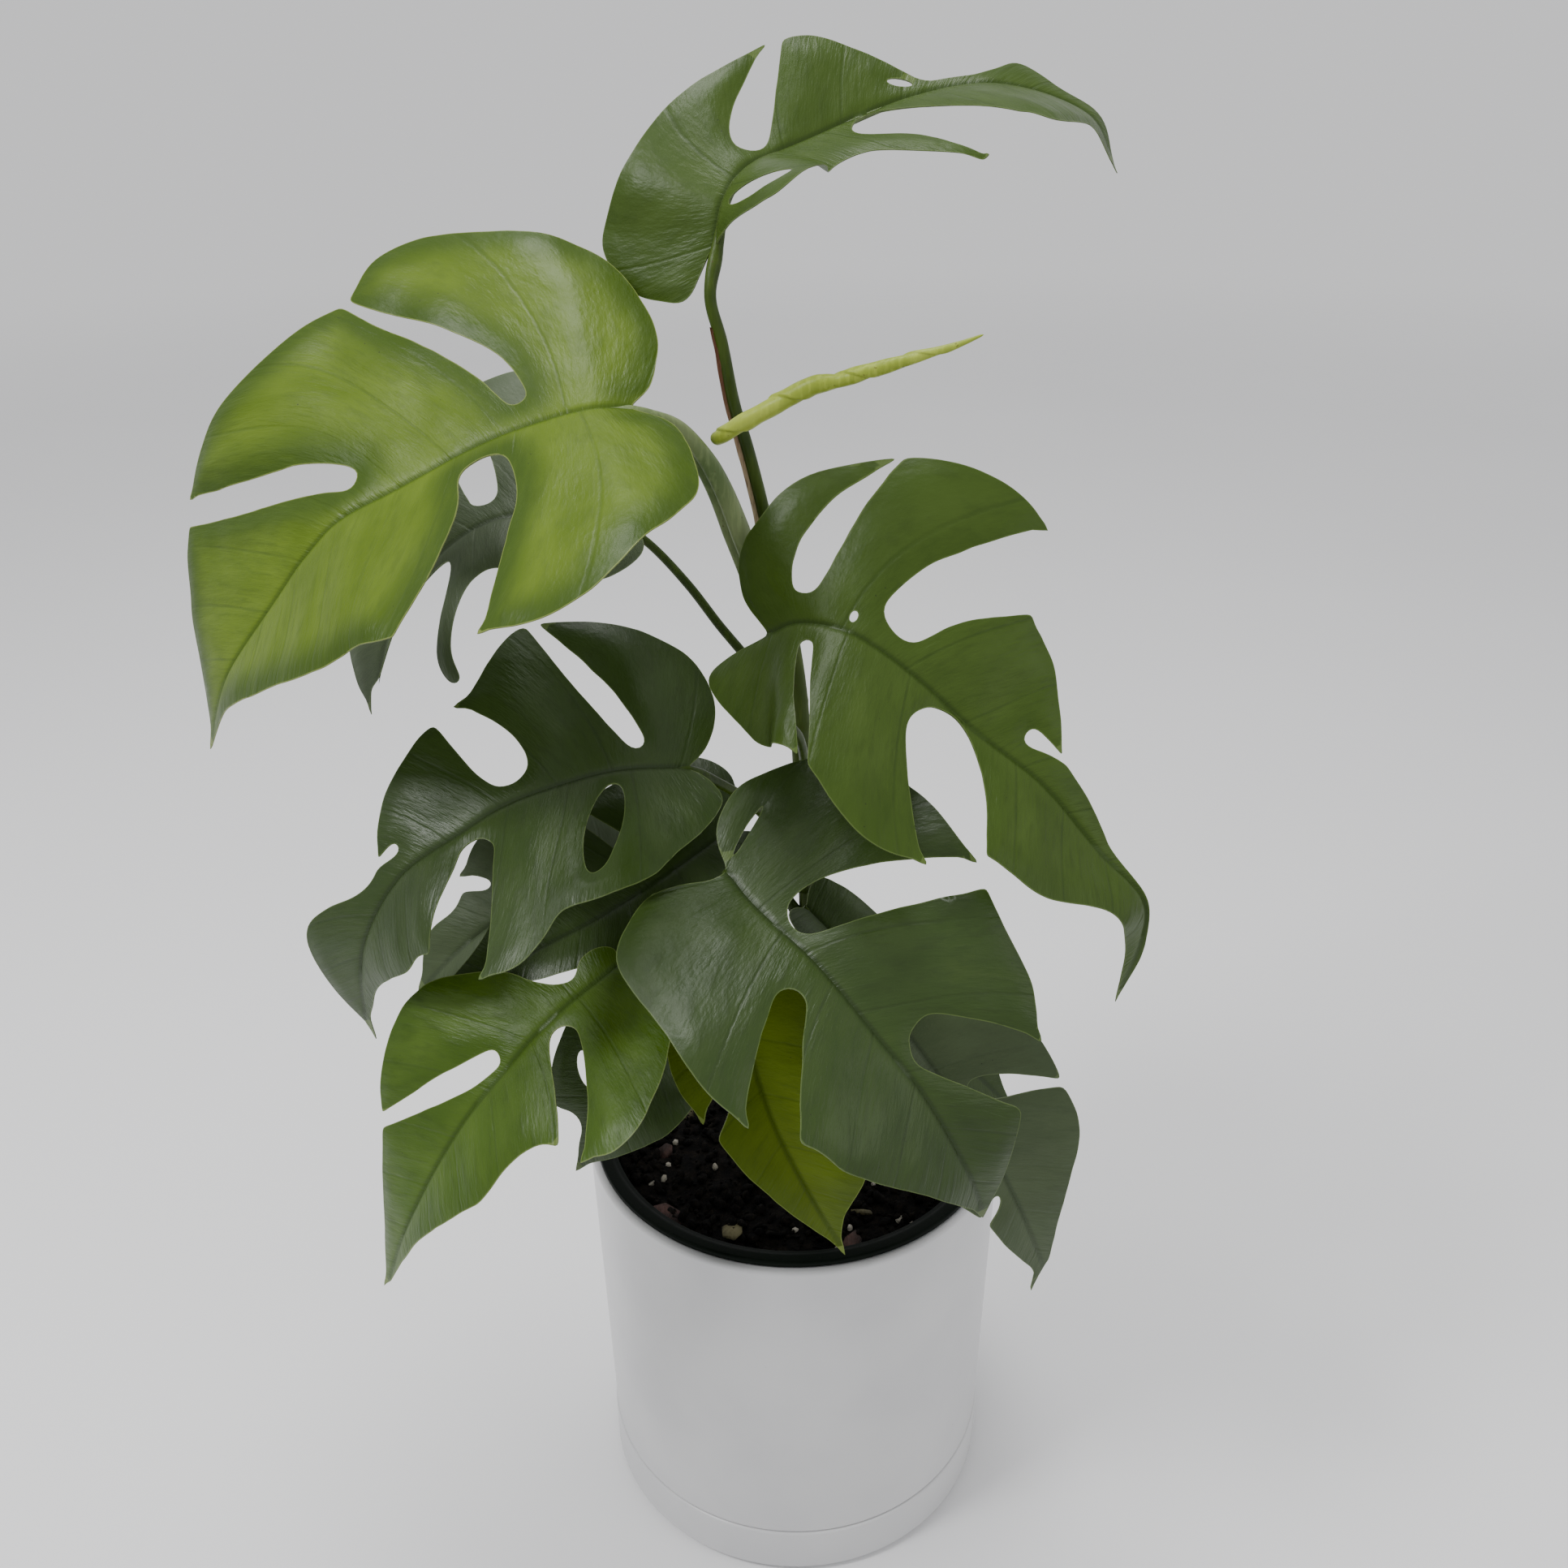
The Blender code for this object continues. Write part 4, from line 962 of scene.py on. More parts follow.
def make_blade(name, spec, materials, wave=1.0, seed=1):
    """A closed leaf blade: upper face, lower face and margin."""
    rib = Rib(spec["rib"], spec["face"], spec.get("fold", PLAIN_FOLD), spec.get("curl", (0, 0)))
    flat, triangles, to_margin = blade_net(spec, rib.length)
    normal = rib.normal(flat)
    upper = rib.lay(flat) + relief(spec, rib, flat, to_margin, wave, seed)[:, None] * normal
    thick = 0.28 + 0.5 * np.exp(-np.abs(flat[:, 0]) / 5) * ramp(rib.length - flat[:, 1], 0, 40)
    lower = upper - thick[:, None] * normal
    count = len(flat)
    edges = np.vstack([triangles[:, [0, 1]], triangles[:, [1, 2]], triangles[:, [2, 0]]])
    lone = edges[~np.isin(edges @ (count, 1), edges[:, ::-1] @ (count, 1))]
    band = np.vstack([
        np.stack([lone[:, 1], lone[:, 0], lone[:, 0] + count], 1),
        np.stack([lone[:, 1], lone[:, 0] + count, lone[:, 1] + count], 1),
    ])
    faces = np.vstack([triangles, triangles[:, ::-1] + count, band])
    points, node = np.vstack([upper, lower]), "leaf_" + name
    piece = new_piece("blade_" + name, points, faces.tolist(), node, materials)
    mesh = piece.data
    kinds = np.repeat([0, 1, 2], [len(triangles), len(triangles), len(band)])
    mesh.polygons.foreach_set("material_index", kinds.astype(np.int32))
    corner = faces.ravel() % count
    side = np.repeat(np.where(flat[faces % count, 0].mean(1) > 0, 1, -1), 3)
    number, space = vein_map(spec, rib.length, flat[corner, 0], flat[corner, 1], side)
    for title, values in (
        ("flat", flat[corner] / 100), ("vein", np.stack([number, space / 10], 1)),
        ("margin", np.stack([to_margin[corner] / 10, 0 * number + rib.length / 100], 1)),
    ):
        layer = mesh.uv_layers.new(name=title)
        layer.data.foreach_set("uv", values.astype(np.float32).ravel())
    mesh.set_sharp_from_angle(angle=np.radians(50))
    return piece, rib


print("blade maker ready")

# %% [markdown]
# ## Leaf finishes
#
# The upper face is waxy: a dark green under a clear, slightly rough skin, so it picks up a broad
# grey sheen. Young leaves are yellow-green and darken from the margin in. The veins are a little
# darker and lie in fine grooves, and the skin between them is drawn into faint ripples that run
# along the veins. Painted shade darkens the green along the ripples. The midrib is darker, partly
# its own colour and partly painted shade in its groove, and a painted highlight lightens the skin
# beside it. The leaves that stand in shade get a greyer paint, which is painted shade as well. The
# lower face is paler and dull, with raised veins. Along the margin runs a thin pale line. All of it
# reads the flat map, the vein map or the margin map, so it bends with the leaf.


# %% Leaf paint
SPECK_BROWN = (0.012, 0.014, 0.006)
PALE_GREEN = (0.17, 0.22, 0.13)


def vein_mask(finish, wide):
    """1 on a side vein and 0 beside it. The distance to the nearest vein is how far the vein
    number is from a whole number, times the space between veins."""
    number, space, _ = finish.split(finish.uv("vein"))
    off = 0.5 - ((number + 100.0).part() - 0.5).size()
    distance = off * space * 10.0
    return distance.fall(0.1 * wide, wide), number


def make_upper(name, paint):
    """Tints laid over each other: clouds of the body's two greens, the margin's tint, painted shade
    along the ripples, the veins, a painted highlight on the skin beside the midrib, the midrib (its
    own darker colour and painted shade in its groove), brown specks and the line at the margin."""
    light, gloss = paint["light"], paint["rough"]
    finish = Finish(name + "_upper", paint["body"], gloss, Specular_IOR_Level=paint["shine"])
    flat = finish.uv("flat")
    x, y, _ = finish.split(flat)
    margin = finish.split(finish.uv("margin"))[0]
    veins, number = vein_mask(finish, 0.7)
    along_veins = finish.vector(number * 2.2, x.size() * 3.0, y * 0.6)
    ripples = finish.noise(along_veins, 4.0, 3.0, 0.6)
    fine_ripples = finish.noise(finish.vector(number * 7.0, x.size() * 6.0, y), 5.0, 2.0)
    cloud = finish.noise(flat, 5.5, 3.0)
    pores = finish.noise(flat, 210.0, 2.0)
    specks = finish.cells(flat, 26.0).fall(0.035, 0.06) * finish.noise(flat, 9.0).rise(0.5, 0.6)
    rib = x.size().fall(0.004, 0.014)
    outer = margin.fall(0.15, 1.3) * (ripples * 0.7 + 0.55)
    patch = finish.noise(finish.vector(number * 0.8, x.size() * 1.3, y), 3.0, 2.0)
    clouds = (cloud * 0.4 + patch * 0.4 + ripples * 0.2).rise(0.3, 0.7)
    tone = finish.mix(clouds, paint["body"], light)
    tone = finish.mix(outer * paint["edge_share"], tone, paint["edge"])
    # Painted shade: the ripples are tinted a deeper green, standing in for the shade in their folds.
    tone = finish.mix(ripples.rise(0.42, 0.75) * 0.45, tone, paint["deep"])
    broken = veins * patch.rise(0.3, 0.6) * 0.35
    tone = finish.mix(broken * paint["vein_share"], tone, paint["vein"])
    # Painted highlight: the skin beside the midrib is lightened, standing in for light on the sides of
    # its groove.
    tone = finish.mix(x.size().fall(0.015, 0.06) * 0.25, tone, light)
    # The midrib is darkened: partly its own colour, partly painted shade in its groove.
    tone = finish.mix(rib * 0.55, tone, paint["vein"])
    tone = finish.mix(specks * 0.8, tone, SPECK_BROWN)
    tone = finish.mix(margin.fall(0.012, 0.035) * 0.7, tone, paint["rim"])
    finish.set("Base Color", tone)
    finish.set("Roughness", gloss - 0.08 + ripples * 0.14 + pores * 0.06 + patch * 0.1)
    finish.bump(ripples * 0.55 + fine_ripples * 0.16 + pores * 0.04 - veins * 0.14, 0.5)
    return finish.material


def make_lower(name, paint):
    """A duller and paler skin than the upper face's, with a fine net between the raised veins."""
    pale = tuple(0.55 * c + 0.45 * g for c, g in zip(paint["light"], PALE_GREEN))
    finish = Finish(name + "_lower", pale, 0.6)
    flat = finish.uv("flat")
    x = finish.split(flat)[0]
    veins = vein_mask(finish, 1.5)[0]
    cloud = finish.noise(flat, 6.0, 3.0)
    net = finish.cells(flat, 60.0, "SMOOTH_F1")
    grain = finish.noise(flat, 260.0, 2.0)
    tone = finish.mix(cloud.rise(0.3, 0.7), times(0.85, pale), pale)
    tone = finish.mix(veins * 0.4 + x.size().fall(0.005, 0.02) * 0.5, tone, paint["vein"])
    finish.set("Base Color", tone)
    finish.set("Roughness", 0.5 + grain * 0.2)
    finish.bump(veins * 0.8 + net * 0.3 + grain * 0.1, 0.5)
    return finish.material


def make_rim(name, paint):
    """The pale line round the blade, worn darker in places."""
    finish = Finish(name + "_margin", paint["rim"], 0.5)
    worn = finish.noise(finish.uv("flat"), 30.0, 2.0)
    tone = finish.mix(worn.rise(0.4, 0.7), paint["rim"], times(0.6, paint["rim"]))
    finish.set("Base Color", tone)
    finish.set("Roughness", 0.42 + worn * 0.15)
    return finish.material


DARK = dict(
    body=(0.018, 0.038, 0.004), light=(0.03, 0.055, 0.008), deep=(0.012, 0.026, 0.002),
    edge=(0.02, 0.042, 0.002), edge_share=0.4, vein=(0.01, 0.022, 0.002), vein_share=1.0,
    rim=(0.085, 0.125, 0.03), rough=0.3, shine=0.3,
)
MID = dict(
    DARK, body=(0.03, 0.056, 0.006), light=(0.045, 0.077, 0.011), deep=(0.02, 0.04, 0.003),
    edge=(0.028, 0.056, 0.003), vein=(0.016, 0.034, 0.003), shine=0.16,
)
LIME = dict(
    DARK, body=(0.064, 0.108, 0.002), light=(0.1, 0.155, 0.011), deep=(0.038, 0.07, 0.001),
    edge=(0.022, 0.05, 0.001), edge_share=0.9, vein=(0.03, 0.06, 0.003),
    rim=(0.17, 0.21, 0.05), rough=0.31, shine=0.17,
)
FRESH = dict(
    DARK, body=(0.038, 0.08, 0.003), light=(0.066, 0.118, 0.01), deep=(0.02, 0.046, 0.001),
    edge=(0.03, 0.066, 0.001), edge_share=0.5, vein=(0.02, 0.045, 0.002),
    rim=(0.14, 0.19, 0.045), rough=0.31, shine=0.2,
)
OLIVE = dict(
    DARK, body=(0.062, 0.095, 0.001), light=(0.082, 0.122, 0.0025), deep=(0.036, 0.06, 0.0008),
    edge=(0.045, 0.075, 0.002), edge_share=0.5, vein=(0.03, 0.052, 0.001),
    rim=(0.17, 0.22, 0.05), rough=0.38, shine=0.1,
)
# Painted shade: a greyer copy of the leaf paint for the leaves that stand in shade at the back and
# side; it paints their shaded, grey look into the colour.
SHADED_GREY = dict(
    DARK, body=(0.04, 0.06, 0.022), light=(0.06, 0.085, 0.036), deep=(0.03, 0.046, 0.016),
    edge=(0.036, 0.058, 0.018), vein=(0.025, 0.04, 0.014), vein_share=0.4,
    rim=(0.1, 0.14, 0.05), rough=0.42,
)


def leaf_finishes(name, paint):
    """The three materials of one sort of leaf: upper face, lower face, margin."""
    return [make_upper(name, paint), make_lower(name, paint), make_rim(name, paint)]


SORTS = {
    "dark": (DARK, "leaf_dark"), "mid": (MID, "leaf_dark"), "lime": (LIME, "leaf_lime"),
    "fresh": (FRESH, "leaf_fresh"), "olive": (OLIVE, "leaf_olive_green"),
    "greyed": (SHADED_GREY, "leaf_greyed"),
}
PAINTS = {sort: (leaf_finishes(sort + "_leaf", paint), slot) for sort, (paint, slot) in SORTS.items()}
print("leaf finishes:", list(PAINTS))

# %% [markdown]
# ## The leaves of this plant
#
# A flat shape lists its left edge and its right edge from stalk to tip, seen from the stalk with the
# upper face up. A split is (root, bend, mouth, width, width at the mouth), and a hole is (centre,
# length, width, turn). Below them stand the thirteen leaves: a flat shape, a rib in space, the
# directions the upper face looks in along it, a fold at base and tip, and a curl for left and right.
# A leaf that names no fold has the plain one, and a leaf that names no curl is not curled.
# The stem and the stalks follow: a stalk leaves the stem at a height and passes through its points.

# %% Flat shapes, ribs and routes
BLADE_TOP = {
    "left": [(-5, -16), (-14, -18), (-24, -16), (-33, -9), (-36, -2), (-34, 8), (-31, 18), (-30, 28),
             (-31, 44), (-31, 58), (-28, 66), (-21, 73), (-15, 78), (-9, 82.5), (-3.5, 88), (-3, 95),
             (-4, 103), (-7, 109), (-11, 114), (-9, 120), (-5, 130), (-5, 141), (-2, 150)],
    "right": [(11, 5), (25, 8), (34, 12), (34, 24), (27, 36), (21, 46), (20, 55), (23, 62), (31, 71),
              (40, 82), (50, 92), (44, 104), (30, 112), (32, 124), (16, 138), (4, 149)],
    "cuts": [((-5, 32), (-13, 38), (-33, 55), 11, 5), ((5, 64), (16, 78), (39, 102), 16, 26)],
    "holes": [((17, 14), 26, 7, 12), ((-5.2, 81), 8.5, 2.8, 60)],
}
BLADE_WIDE = {
    "left": [(-8, -10), (-24, -12), (-40, -9), (-56, 8), (-70, 22), (-73, 36), (-68, 50),
             (-56, 68), (-50, 86),
             (-41, 110), (-26, 131), (-11, 153)],
    "right": [(8, -8), (25, -13), (42, -10), (56, -2), (64, 12), (70, 28), (76, 42), (76, 55), (68, 66),
              (67, 78), (64, 92), (63, 108), (56, 124), (46, 138), (33, 150), (18, 160), (6, 170)],
    "cuts": [((-9, 43), (-28, 45), (-60, 64), 19, 28), ((10, 29), (30, 38), (66, 66), 8, 3),
             ((10, 81), (24, 98), (52, 132), 9, 9)],
}
BLADE_LONG = {
    "left": [(-5, -3), (-14, -6), (-25, -5), (-34, 3), (-45, 12), (-56, 24), (-62, 34), (-63, 44),
             (-58, 53), (-39, 63), (-35, 72), (-31, 81), (-20, 90), (-11, 97), (-9, 103), (-8, 111),
             (-5, 121), (-2, 134), (-1, 150), (-2, 168)],
    "right": [(1, -10), (4, -21), (9, -23), (18, -18), (28, -10), (36, -3), (41, 10), (43, 24),
              (45, 40),
              (50, 54), (52, 68), (47, 80), (34, 94), (31, 104), (28, 117), (20, 127), (14, 136),
              (12, 148), (5, 162), (2, 174)],
    "cuts": [((-10.5, 12), (-24, 14.5), (-56, 23), 7.5, 0.4), ((-10, 38), (-27, 44), (-50, 59), 17, 23),
             ((-9, 86), (-9, 88), (-10, 98), 6, 1.5), ((7, 15), (22, 20), (46, 38), 7, 3),
             ((7, 62), (18, 73), (40, 89), 23, 21)],
    "holes": [((-5, 26), 4, 2.6, 0)],
}
BLADE_LEFT = {
    "left": [(-3, -5), (-12, -9), (-22, -4), (-34, 9), (-42, 20), (-44, 36), (-44, 50), (-50, 62),
             (-53, 73), (-44, 85), (-30, 97), (-25, 103), (-23, 112), (-16, 122), (-8, 135), (-4, 146)],
    "right": [(5, -6), (16, -11), (28, -10), (38, -4), (46, 9), (52, 24), (54, 36), (46, 47), (36, 56),
              (34, 68), (28, 80), (20, 89), (10, 96), (7, 102), (9, 110), (17, 120), (22, 129),
              (18, 138),
              (10, 149)],
    "cuts": [((-8, 68), (-16, 73), (-38, 88), 14, 26), ((8, 14), (26, 22), (54, 33), 7, 3),
             ((8, 50.5), (17, 53), (37, 60), 14, 7), ((8, 90), (8, 92), (8.5, 99), 4, 1.5)],
    "holes": [((-20, 30), 34, 11, 153)],
}
BLADE_FRONT = {
    "left": [(-4, -12), (-16, -20), (-30, -18), (-42, -13), (-51, -2), (-56, 12), (-57, 28), (-54, 44),
             (-50, 56), (-48, 66), (-45, 79), (-38, 90), (-28, 100), (-21, 109), (-13, 119), (-6, 128)],
    "right": [(6, 0), (14, -3), (25, -4), (37, 2), (44, 9), (46, 22), (49, 38), (49, 52), (44, 64),
              (36, 74), (33, 84), (26, 95), (16, 107), (7, 120)],
    "cuts": [((-6, 25), (-19, 30), (-54, 49), 15, 8), ((-9, 73), (-14, 80), (-29, 99), 17, 20),
             ((12, 41.5), (21, 48), (42, 65), 11, 14)],
    "holes": [((-12, -7), 18, 2, 24)],
}
BLADE_LOW = {
    "left": [(-6, -10), (-20, -10), (-32, 2), (-42, 14), (-48, 28), (-47, 40), (-38, 46), (-28, 50),
             (-24, 60), (-23, 76), (-16, 90), (-9, 106), (-5, 120), (-2, 134)],
    "right": [(5, -2), (9, 3), (9, 9), (5.5, 13), (7, 18), (13, 22.5), (21, 26), (30, 33), (37, 41),
              (40, 54), (38, 66), (33, 78), (26, 88), (21, 98), (16, 110), (10, 124), (4, 138)],
    "cuts": [((-6, 26), (-16, 32), (-37, 46), 11, 7), ((5, 46), (11, 62), (26, 91), 8, 4)],
}

BLADE_BEHIND = {
    "left": [(-4, -8), (-15, -11), (-24, -2), (-27, 12), (-22, 30), (-18, 44), (-19, 55), (-25, 66),
             (-32, 74), (-40, 78), (-38, 84), (-30, 82), (-22, 72), (-13, 60), (-5, 55), (-3, 68),
             (-2, 90), (0, 104), (3, 110)],
    "right": [(6, -8), (20, -14), (34, -8), (46, 4), (54, 16), (54, 28), (48, 42), (43, 54), (38, 68),
              (30, 82), (22, 93), (16, 104), (9, 112)],
    "cuts": [((8, 37), (17, 36.5), (51, 40), 9, 8)],
}
BLADE_SIDE = {
    "left": [(-4, -8), (-12, -6), (-16, 4), (-20, 14), (-26, 23), (-32, 32), (-32, 41), (-30.5, 48),
             (-30, 57), (-26, 66), (-18, 76), (-11, 86), (-6, 96), (-3, 103)],
    "right": [(5, -10), (16, -8), (24, 4), (28, 20), (27, 36), (22, 51), (17, 62), (12.5, 72), (10, 84),
              (6, 96), (3, 104)],
    "cuts": [((-6, 33.5), (-13, 37.5), (-30, 47), 7.5, 2), ((5, 68), (8.5, 70), (14, 72), 4.5, 4)],
}
BLADE_OLIVE = {
    "left": [(-5, -8), (-15, -11), (-24, -2), (-27, 14), (-26, 30), (-28, 46), (-26, 62), (-20, 76),
             (-12, 84), (-6, 91), (-2, 99)],
    "right": [(5, -8), (12, -9), (19, -2), (25, 9), (26, 21), (24, 32), (20, 40), (17, 50), (14, 61),
              (11, 71), (8, 82), (4, 94)],
    "cuts": [((6, 30), (12, 36), (22, 45), 6, 7)],
}
BLADE_SHADE = {
    "left": [(-4, -6), (-13, -8), (-22, 2), (-26, 15), (-26, 30), (-24, 40), (-18, 50), (-12, 59),
             (-5, 68)],
    "right": [(4, -6), (13, -8), (22, 4), (25, 18), (27, 32), (24, 46), (18, 58), (10, 57),
              (5, 60), (3, 68)],
    "holes": [((13, 41), 14, 6, 138)],
}
BLADE_MIDDLE = {
    "left": [(-4, -8), (-13, -10), (-22, 0), (-27, 14), (-27, 30), (-22, 43), (-15, 52), (-12, 62),
             (-9, 74), (-4, 85)],
    "right": [(4, -10), (16, -16), (28, -10), (34, 4), (36, 20), (34, 36), (30, 50), (24, 62),
              (17, 76), (8, 90)],
    "cuts": [((-4, 29), (-10, 31), (-28, 34), 5, 5), ((5, 20), (14, 26), (36, 34), 6, 4)],
}
BLADE_BACK = {
    "left": [(-4, -6), (-13, -8), (-22, 2), (-26, 16), (-25, 32), (-21, 48), (-13, 62), (-5, 73)],
    "right": [(4, -6), (16, -12), (28, -4), (34, 10), (34, 24), (28, 38), (19, 46), (12, 53),
              (12, 66), (6, 75)],
    "cuts": [((12, 41), (15, 44), (20, 50), 5, 6)],
}
BLADE_INNER = {
    "left": [(-4, -4), (-11, -4), (-15, 8), (-16, 24), (-17, 42), (-17, 58), (-15, 74), (-11, 88),
             (-6, 97)],
    "right": [(3, -4), (7, -4), (9.5, 6), (10.5, 18), (11.5, 34), (16, 50), (17, 66), (14, 82),
              (8, 96)],
    "cuts": [((4, 48), (9, 53), (19, 60), 5, 4)],
}

LEAVES = {
    "top": dict(
        paint="mid", wave=0.7, hook=(1.5, 4), **BLADE_TOP,
        rib=[(-22, 0, 474), (-19, 4, 486), (-12, 12, 494), (2, 22, 499), (36, 34, 511), (62, 36, 514),
             (88, 36, 506), (97, 34, 493)],
        face=[(-0.75, -0.65, 0.2), (-0.3, -0.65, 0.7), (0, -0.6, 0.8), (0.1, -0.45, 0.85),
              (0.2, -0.3, 0.9), (0.6, -0.3, 0.6)],
        fold=(24, 12), curl=(0, -30),
    ),
    "wide": dict(
        paint="lime", wave=1.2, **BLADE_WIDE,
        rib=[(-44, -40, 437), (-57, -44, 437), (-81, -47, 430), (-108, -49, 417), (-128, -50, 406),
             (-149, -50, 382), (-165, -48, 361), (-176, -42, 337)],
        face=[(-0.25, -0.55, 0.8), (-0.3, -0.6, 0.75), (-0.5, -0.55, 0.7)], fold=(8, 8),
    ),
    "behind": dict(
        paint="greyed", **BLADE_BEHIND,
        rib=[(-59, 14, 392), (-81, 10, 393), (-98, 7, 390), (-113, 3, 380), (-129, 0, 359),
             (-138, -2, 331)],
        face=[(-0.25, -0.6, 0.75), (-0.4, -0.6, 0.65), (-0.6, -0.6, 0.4)], fold=(5, 5), curl=(-30, 0),
    ),
    "right": dict(
        paint="mid", **BLADE_LONG,
        rib=[(-7, -38, 370), (2, -42, 375), (17, -48, 374), (35, -54, 363), (54, -60, 347),
             (71.5, -66, 334.5),
             (88.5, -72, 315.5), (103.5, -76, 298), (99, -74, 266)],
        face=[(0, -0.7, 0.7), (0.2, -0.65, 0.75), (0.4, -0.6, 0.7)],
    ),
    "left": dict(
        paint="dark", hook=(-5, 3), **BLADE_LEFT,
        rib=[(-32, -45, 330), (-50, -50, 332), (-67, -55, 330), (-85, -60, 325), (-98, -64, 318),
             (-117, -68, 305), (-131, -68, 280), (-136, -62, 248)],
        face=[(-0.1, -0.55, 0.85), (-0.2, -0.6, 0.8), (-0.3, -0.7, 0.6)],
    ),
    "front": dict(
        paint="dark", **BLADE_FRONT,
        rib=[(-19, -75, 311), (-11, -84, 305), (7, -100, 295), (22, -112, 281), (36, -120, 265),
             (48, -124, 243), (54, -122, 225)],
        face=[(0, -0.5, 0.87), (0.1, -0.55, 0.8), (0.2, -0.6, 0.7)],
    ),
    "low": dict(
        paint="fresh", hook=(1.5, 2), **BLADE_LOW,
        rib=[(-53, -70, 276), (-72, -82, 265), (-86, -92, 253), (-101, -98, 235), (-118, -100, 204),
             (-132, -94, 168)],
        face=[(-0.1, -0.5, 0.87), (-0.2, -0.5, 0.8), (-0.4, -0.5, 0.7)], fold=(8, 8),
    ),
    "olive": dict(
        paint="olive", **BLADE_OLIVE,
        rib=[(-16, -55, 262), (-14, -68, 243), (-7, -78, 222), (3, -82, 199), (16, -80, 169)],
        face=[(-0.2, -0.7, 0.6), (-0.1, -0.8, 0.5), (-0.1, -0.9, 0.3)], fold=(15, 15),
    ),
    "side": dict(
        paint="greyed", hook=(7, 2.5), **BLADE_SIDE,
        rib=[(31, -66, 254), (46, -76, 236), (60, -84, 217), (72, -88, 193), (82, -86, 165)],
        face=[(0.1, -0.7, 0.6), (0.2, -0.8, 0.5), (0.3, -0.9, 0.3)],
    ),
    "back_left": dict(
        paint="greyed", **BLADE_BACK,
        rib=[(-60, -10, 268), (-76, -20, 271), (-91, -28, 270), (-107, -34, 261), (-124, -36, 244)],
        face=[(-0.2, -0.6, 0.8), (-0.3, -0.7, 0.6)],
    ),
    "middle": dict(
        paint="dark", **BLADE_MIDDLE,
        rib=[(-23, -30, 298), (-41, -42, 290), (-61, -54, 282), (-81, -62, 275), (-103, -65, 263),
             (-119, -66, 248)],
        face=[(-0.1, -0.6, 0.8), (-0.2, -0.6, 0.75)], fold=(8, 8),
    ),
    "shade": dict(
        paint="dark", **BLADE_SHADE,
        rib=[(-35, -30, 236), (-46, -42, 228), (-56, -50, 217), (-66, -54, 200), (-74, -54, 182)],
        face=[(-0.1, -0.6, 0.8), (-0.2, -0.7, 0.6)],
    ),
    "inner": dict(
        paint="dark", **BLADE_INNER,
        rib=[(5, -13, 260), (21, -16, 243), (42, -19, 221), (62, -21, 199), (80, -21, 178)],
        face=[(0, -0.6, 0.8), (0.2, -0.6, 0.7)],
    ),
}

STEM = [(6, -2, 117), (6, -2, 145), (8, 0, 190), (6, 2, 240), (4, 3, 290), (2, 4, 330), (-2, 4, 360)]
STALKS = {
    "top": (364, [(-8, 2, 392), (-13, 1, 414), (-17, -1, 429), (-20, -4, 447), (-23, -4, 460)]),
    "behind": (322, [(-14, 9, 342), (-24, 12, 354), (-34, 15, 367), (-46, 17, 380)]),
    "right": (296, [(4, -10, 312), (2, -20, 328), (-4, -30, 342)]),
    "left": (262, [(-4, -12, 288), (-14, -26, 308), (-24, -37, 321)]),
    "front": (216, [(0, -22, 250), (-6, -42, 280), (-12, -58, 298)]),
    "low": (188, [(-8, -18, 216), (-21, -37, 247), (-40, -54, 262)]),
    "olive": (170, [(4, -16, 196), (-2, -32, 228), (-9, -44, 248)]),
    "side": (200, [(16, -16, 216), (24, -32, 230), (30, -48, 238)]),
    "back_left": (232, [(-12, 6, 250), (-32, 2, 262), (-48, -4, 266)]),
    "middle": (244, [(-6, -1, 264), (-13, -10, 283), (-19, -20, 292)]),
    "shade": (178, [(-6, -8, 198), (-16, -16, 220), (-26, -24, 230)]),
    "inner": (222, [(10, -7.5, 238), (7, -11, 249)]),
}
SHEATH = [(-11, -6, 374), (-16, -9, 390), (-21, -14, 406), (-26, -20, 418), (-32, -28, 428),
          (-39, -36, 433)]
NEW_LEAF = [(-23, -13, 421), (-19, -16, 423.5), (-14, -18, 427), (-7.5, -20, 431), (0, -21, 435),
            (6, -22.5, 438.5), (10, -23, 439.5), (15, -24, 440.5), (24, -25, 443.5), (34, -26, 446.5),
            (44, -27, 449.5), (53, -28, 453)]
print("leaves:", len(LEAVES), "stalks:", len(STALKS))

# %% Grow the blades
RIBS = {}
for number, (name, spec) in enumerate(LEAVES.items()):
    finishes, slot = PAINTS[spec["paint"]]
    blade, RIBS[name] = make_blade(name, spec, finishes, spec.get("wave", 1.0), 100 + 7 * number)
    print(blade.name, len(blade.data.polygons), "faces, midrib", round(RIBS[name].length), "mm")

# %% [markdown]
# ## Stem, stalks and midribs
#
# The stem is a green vine with a swollen ring where each stalk leaves it. A stalk clasps the stem
# with a wide base, thins out, and thickens again in a short joint, paler on the real plant, that
# turns the blade to the light. Its line runs on under the blade as the midrib, so one tube makes
# both: the route goes from the stem through the stalk's points to the base of the blade, then along
# the rib just below it, where the radius falls to nothing at the tip.

# %% Stalk finishes


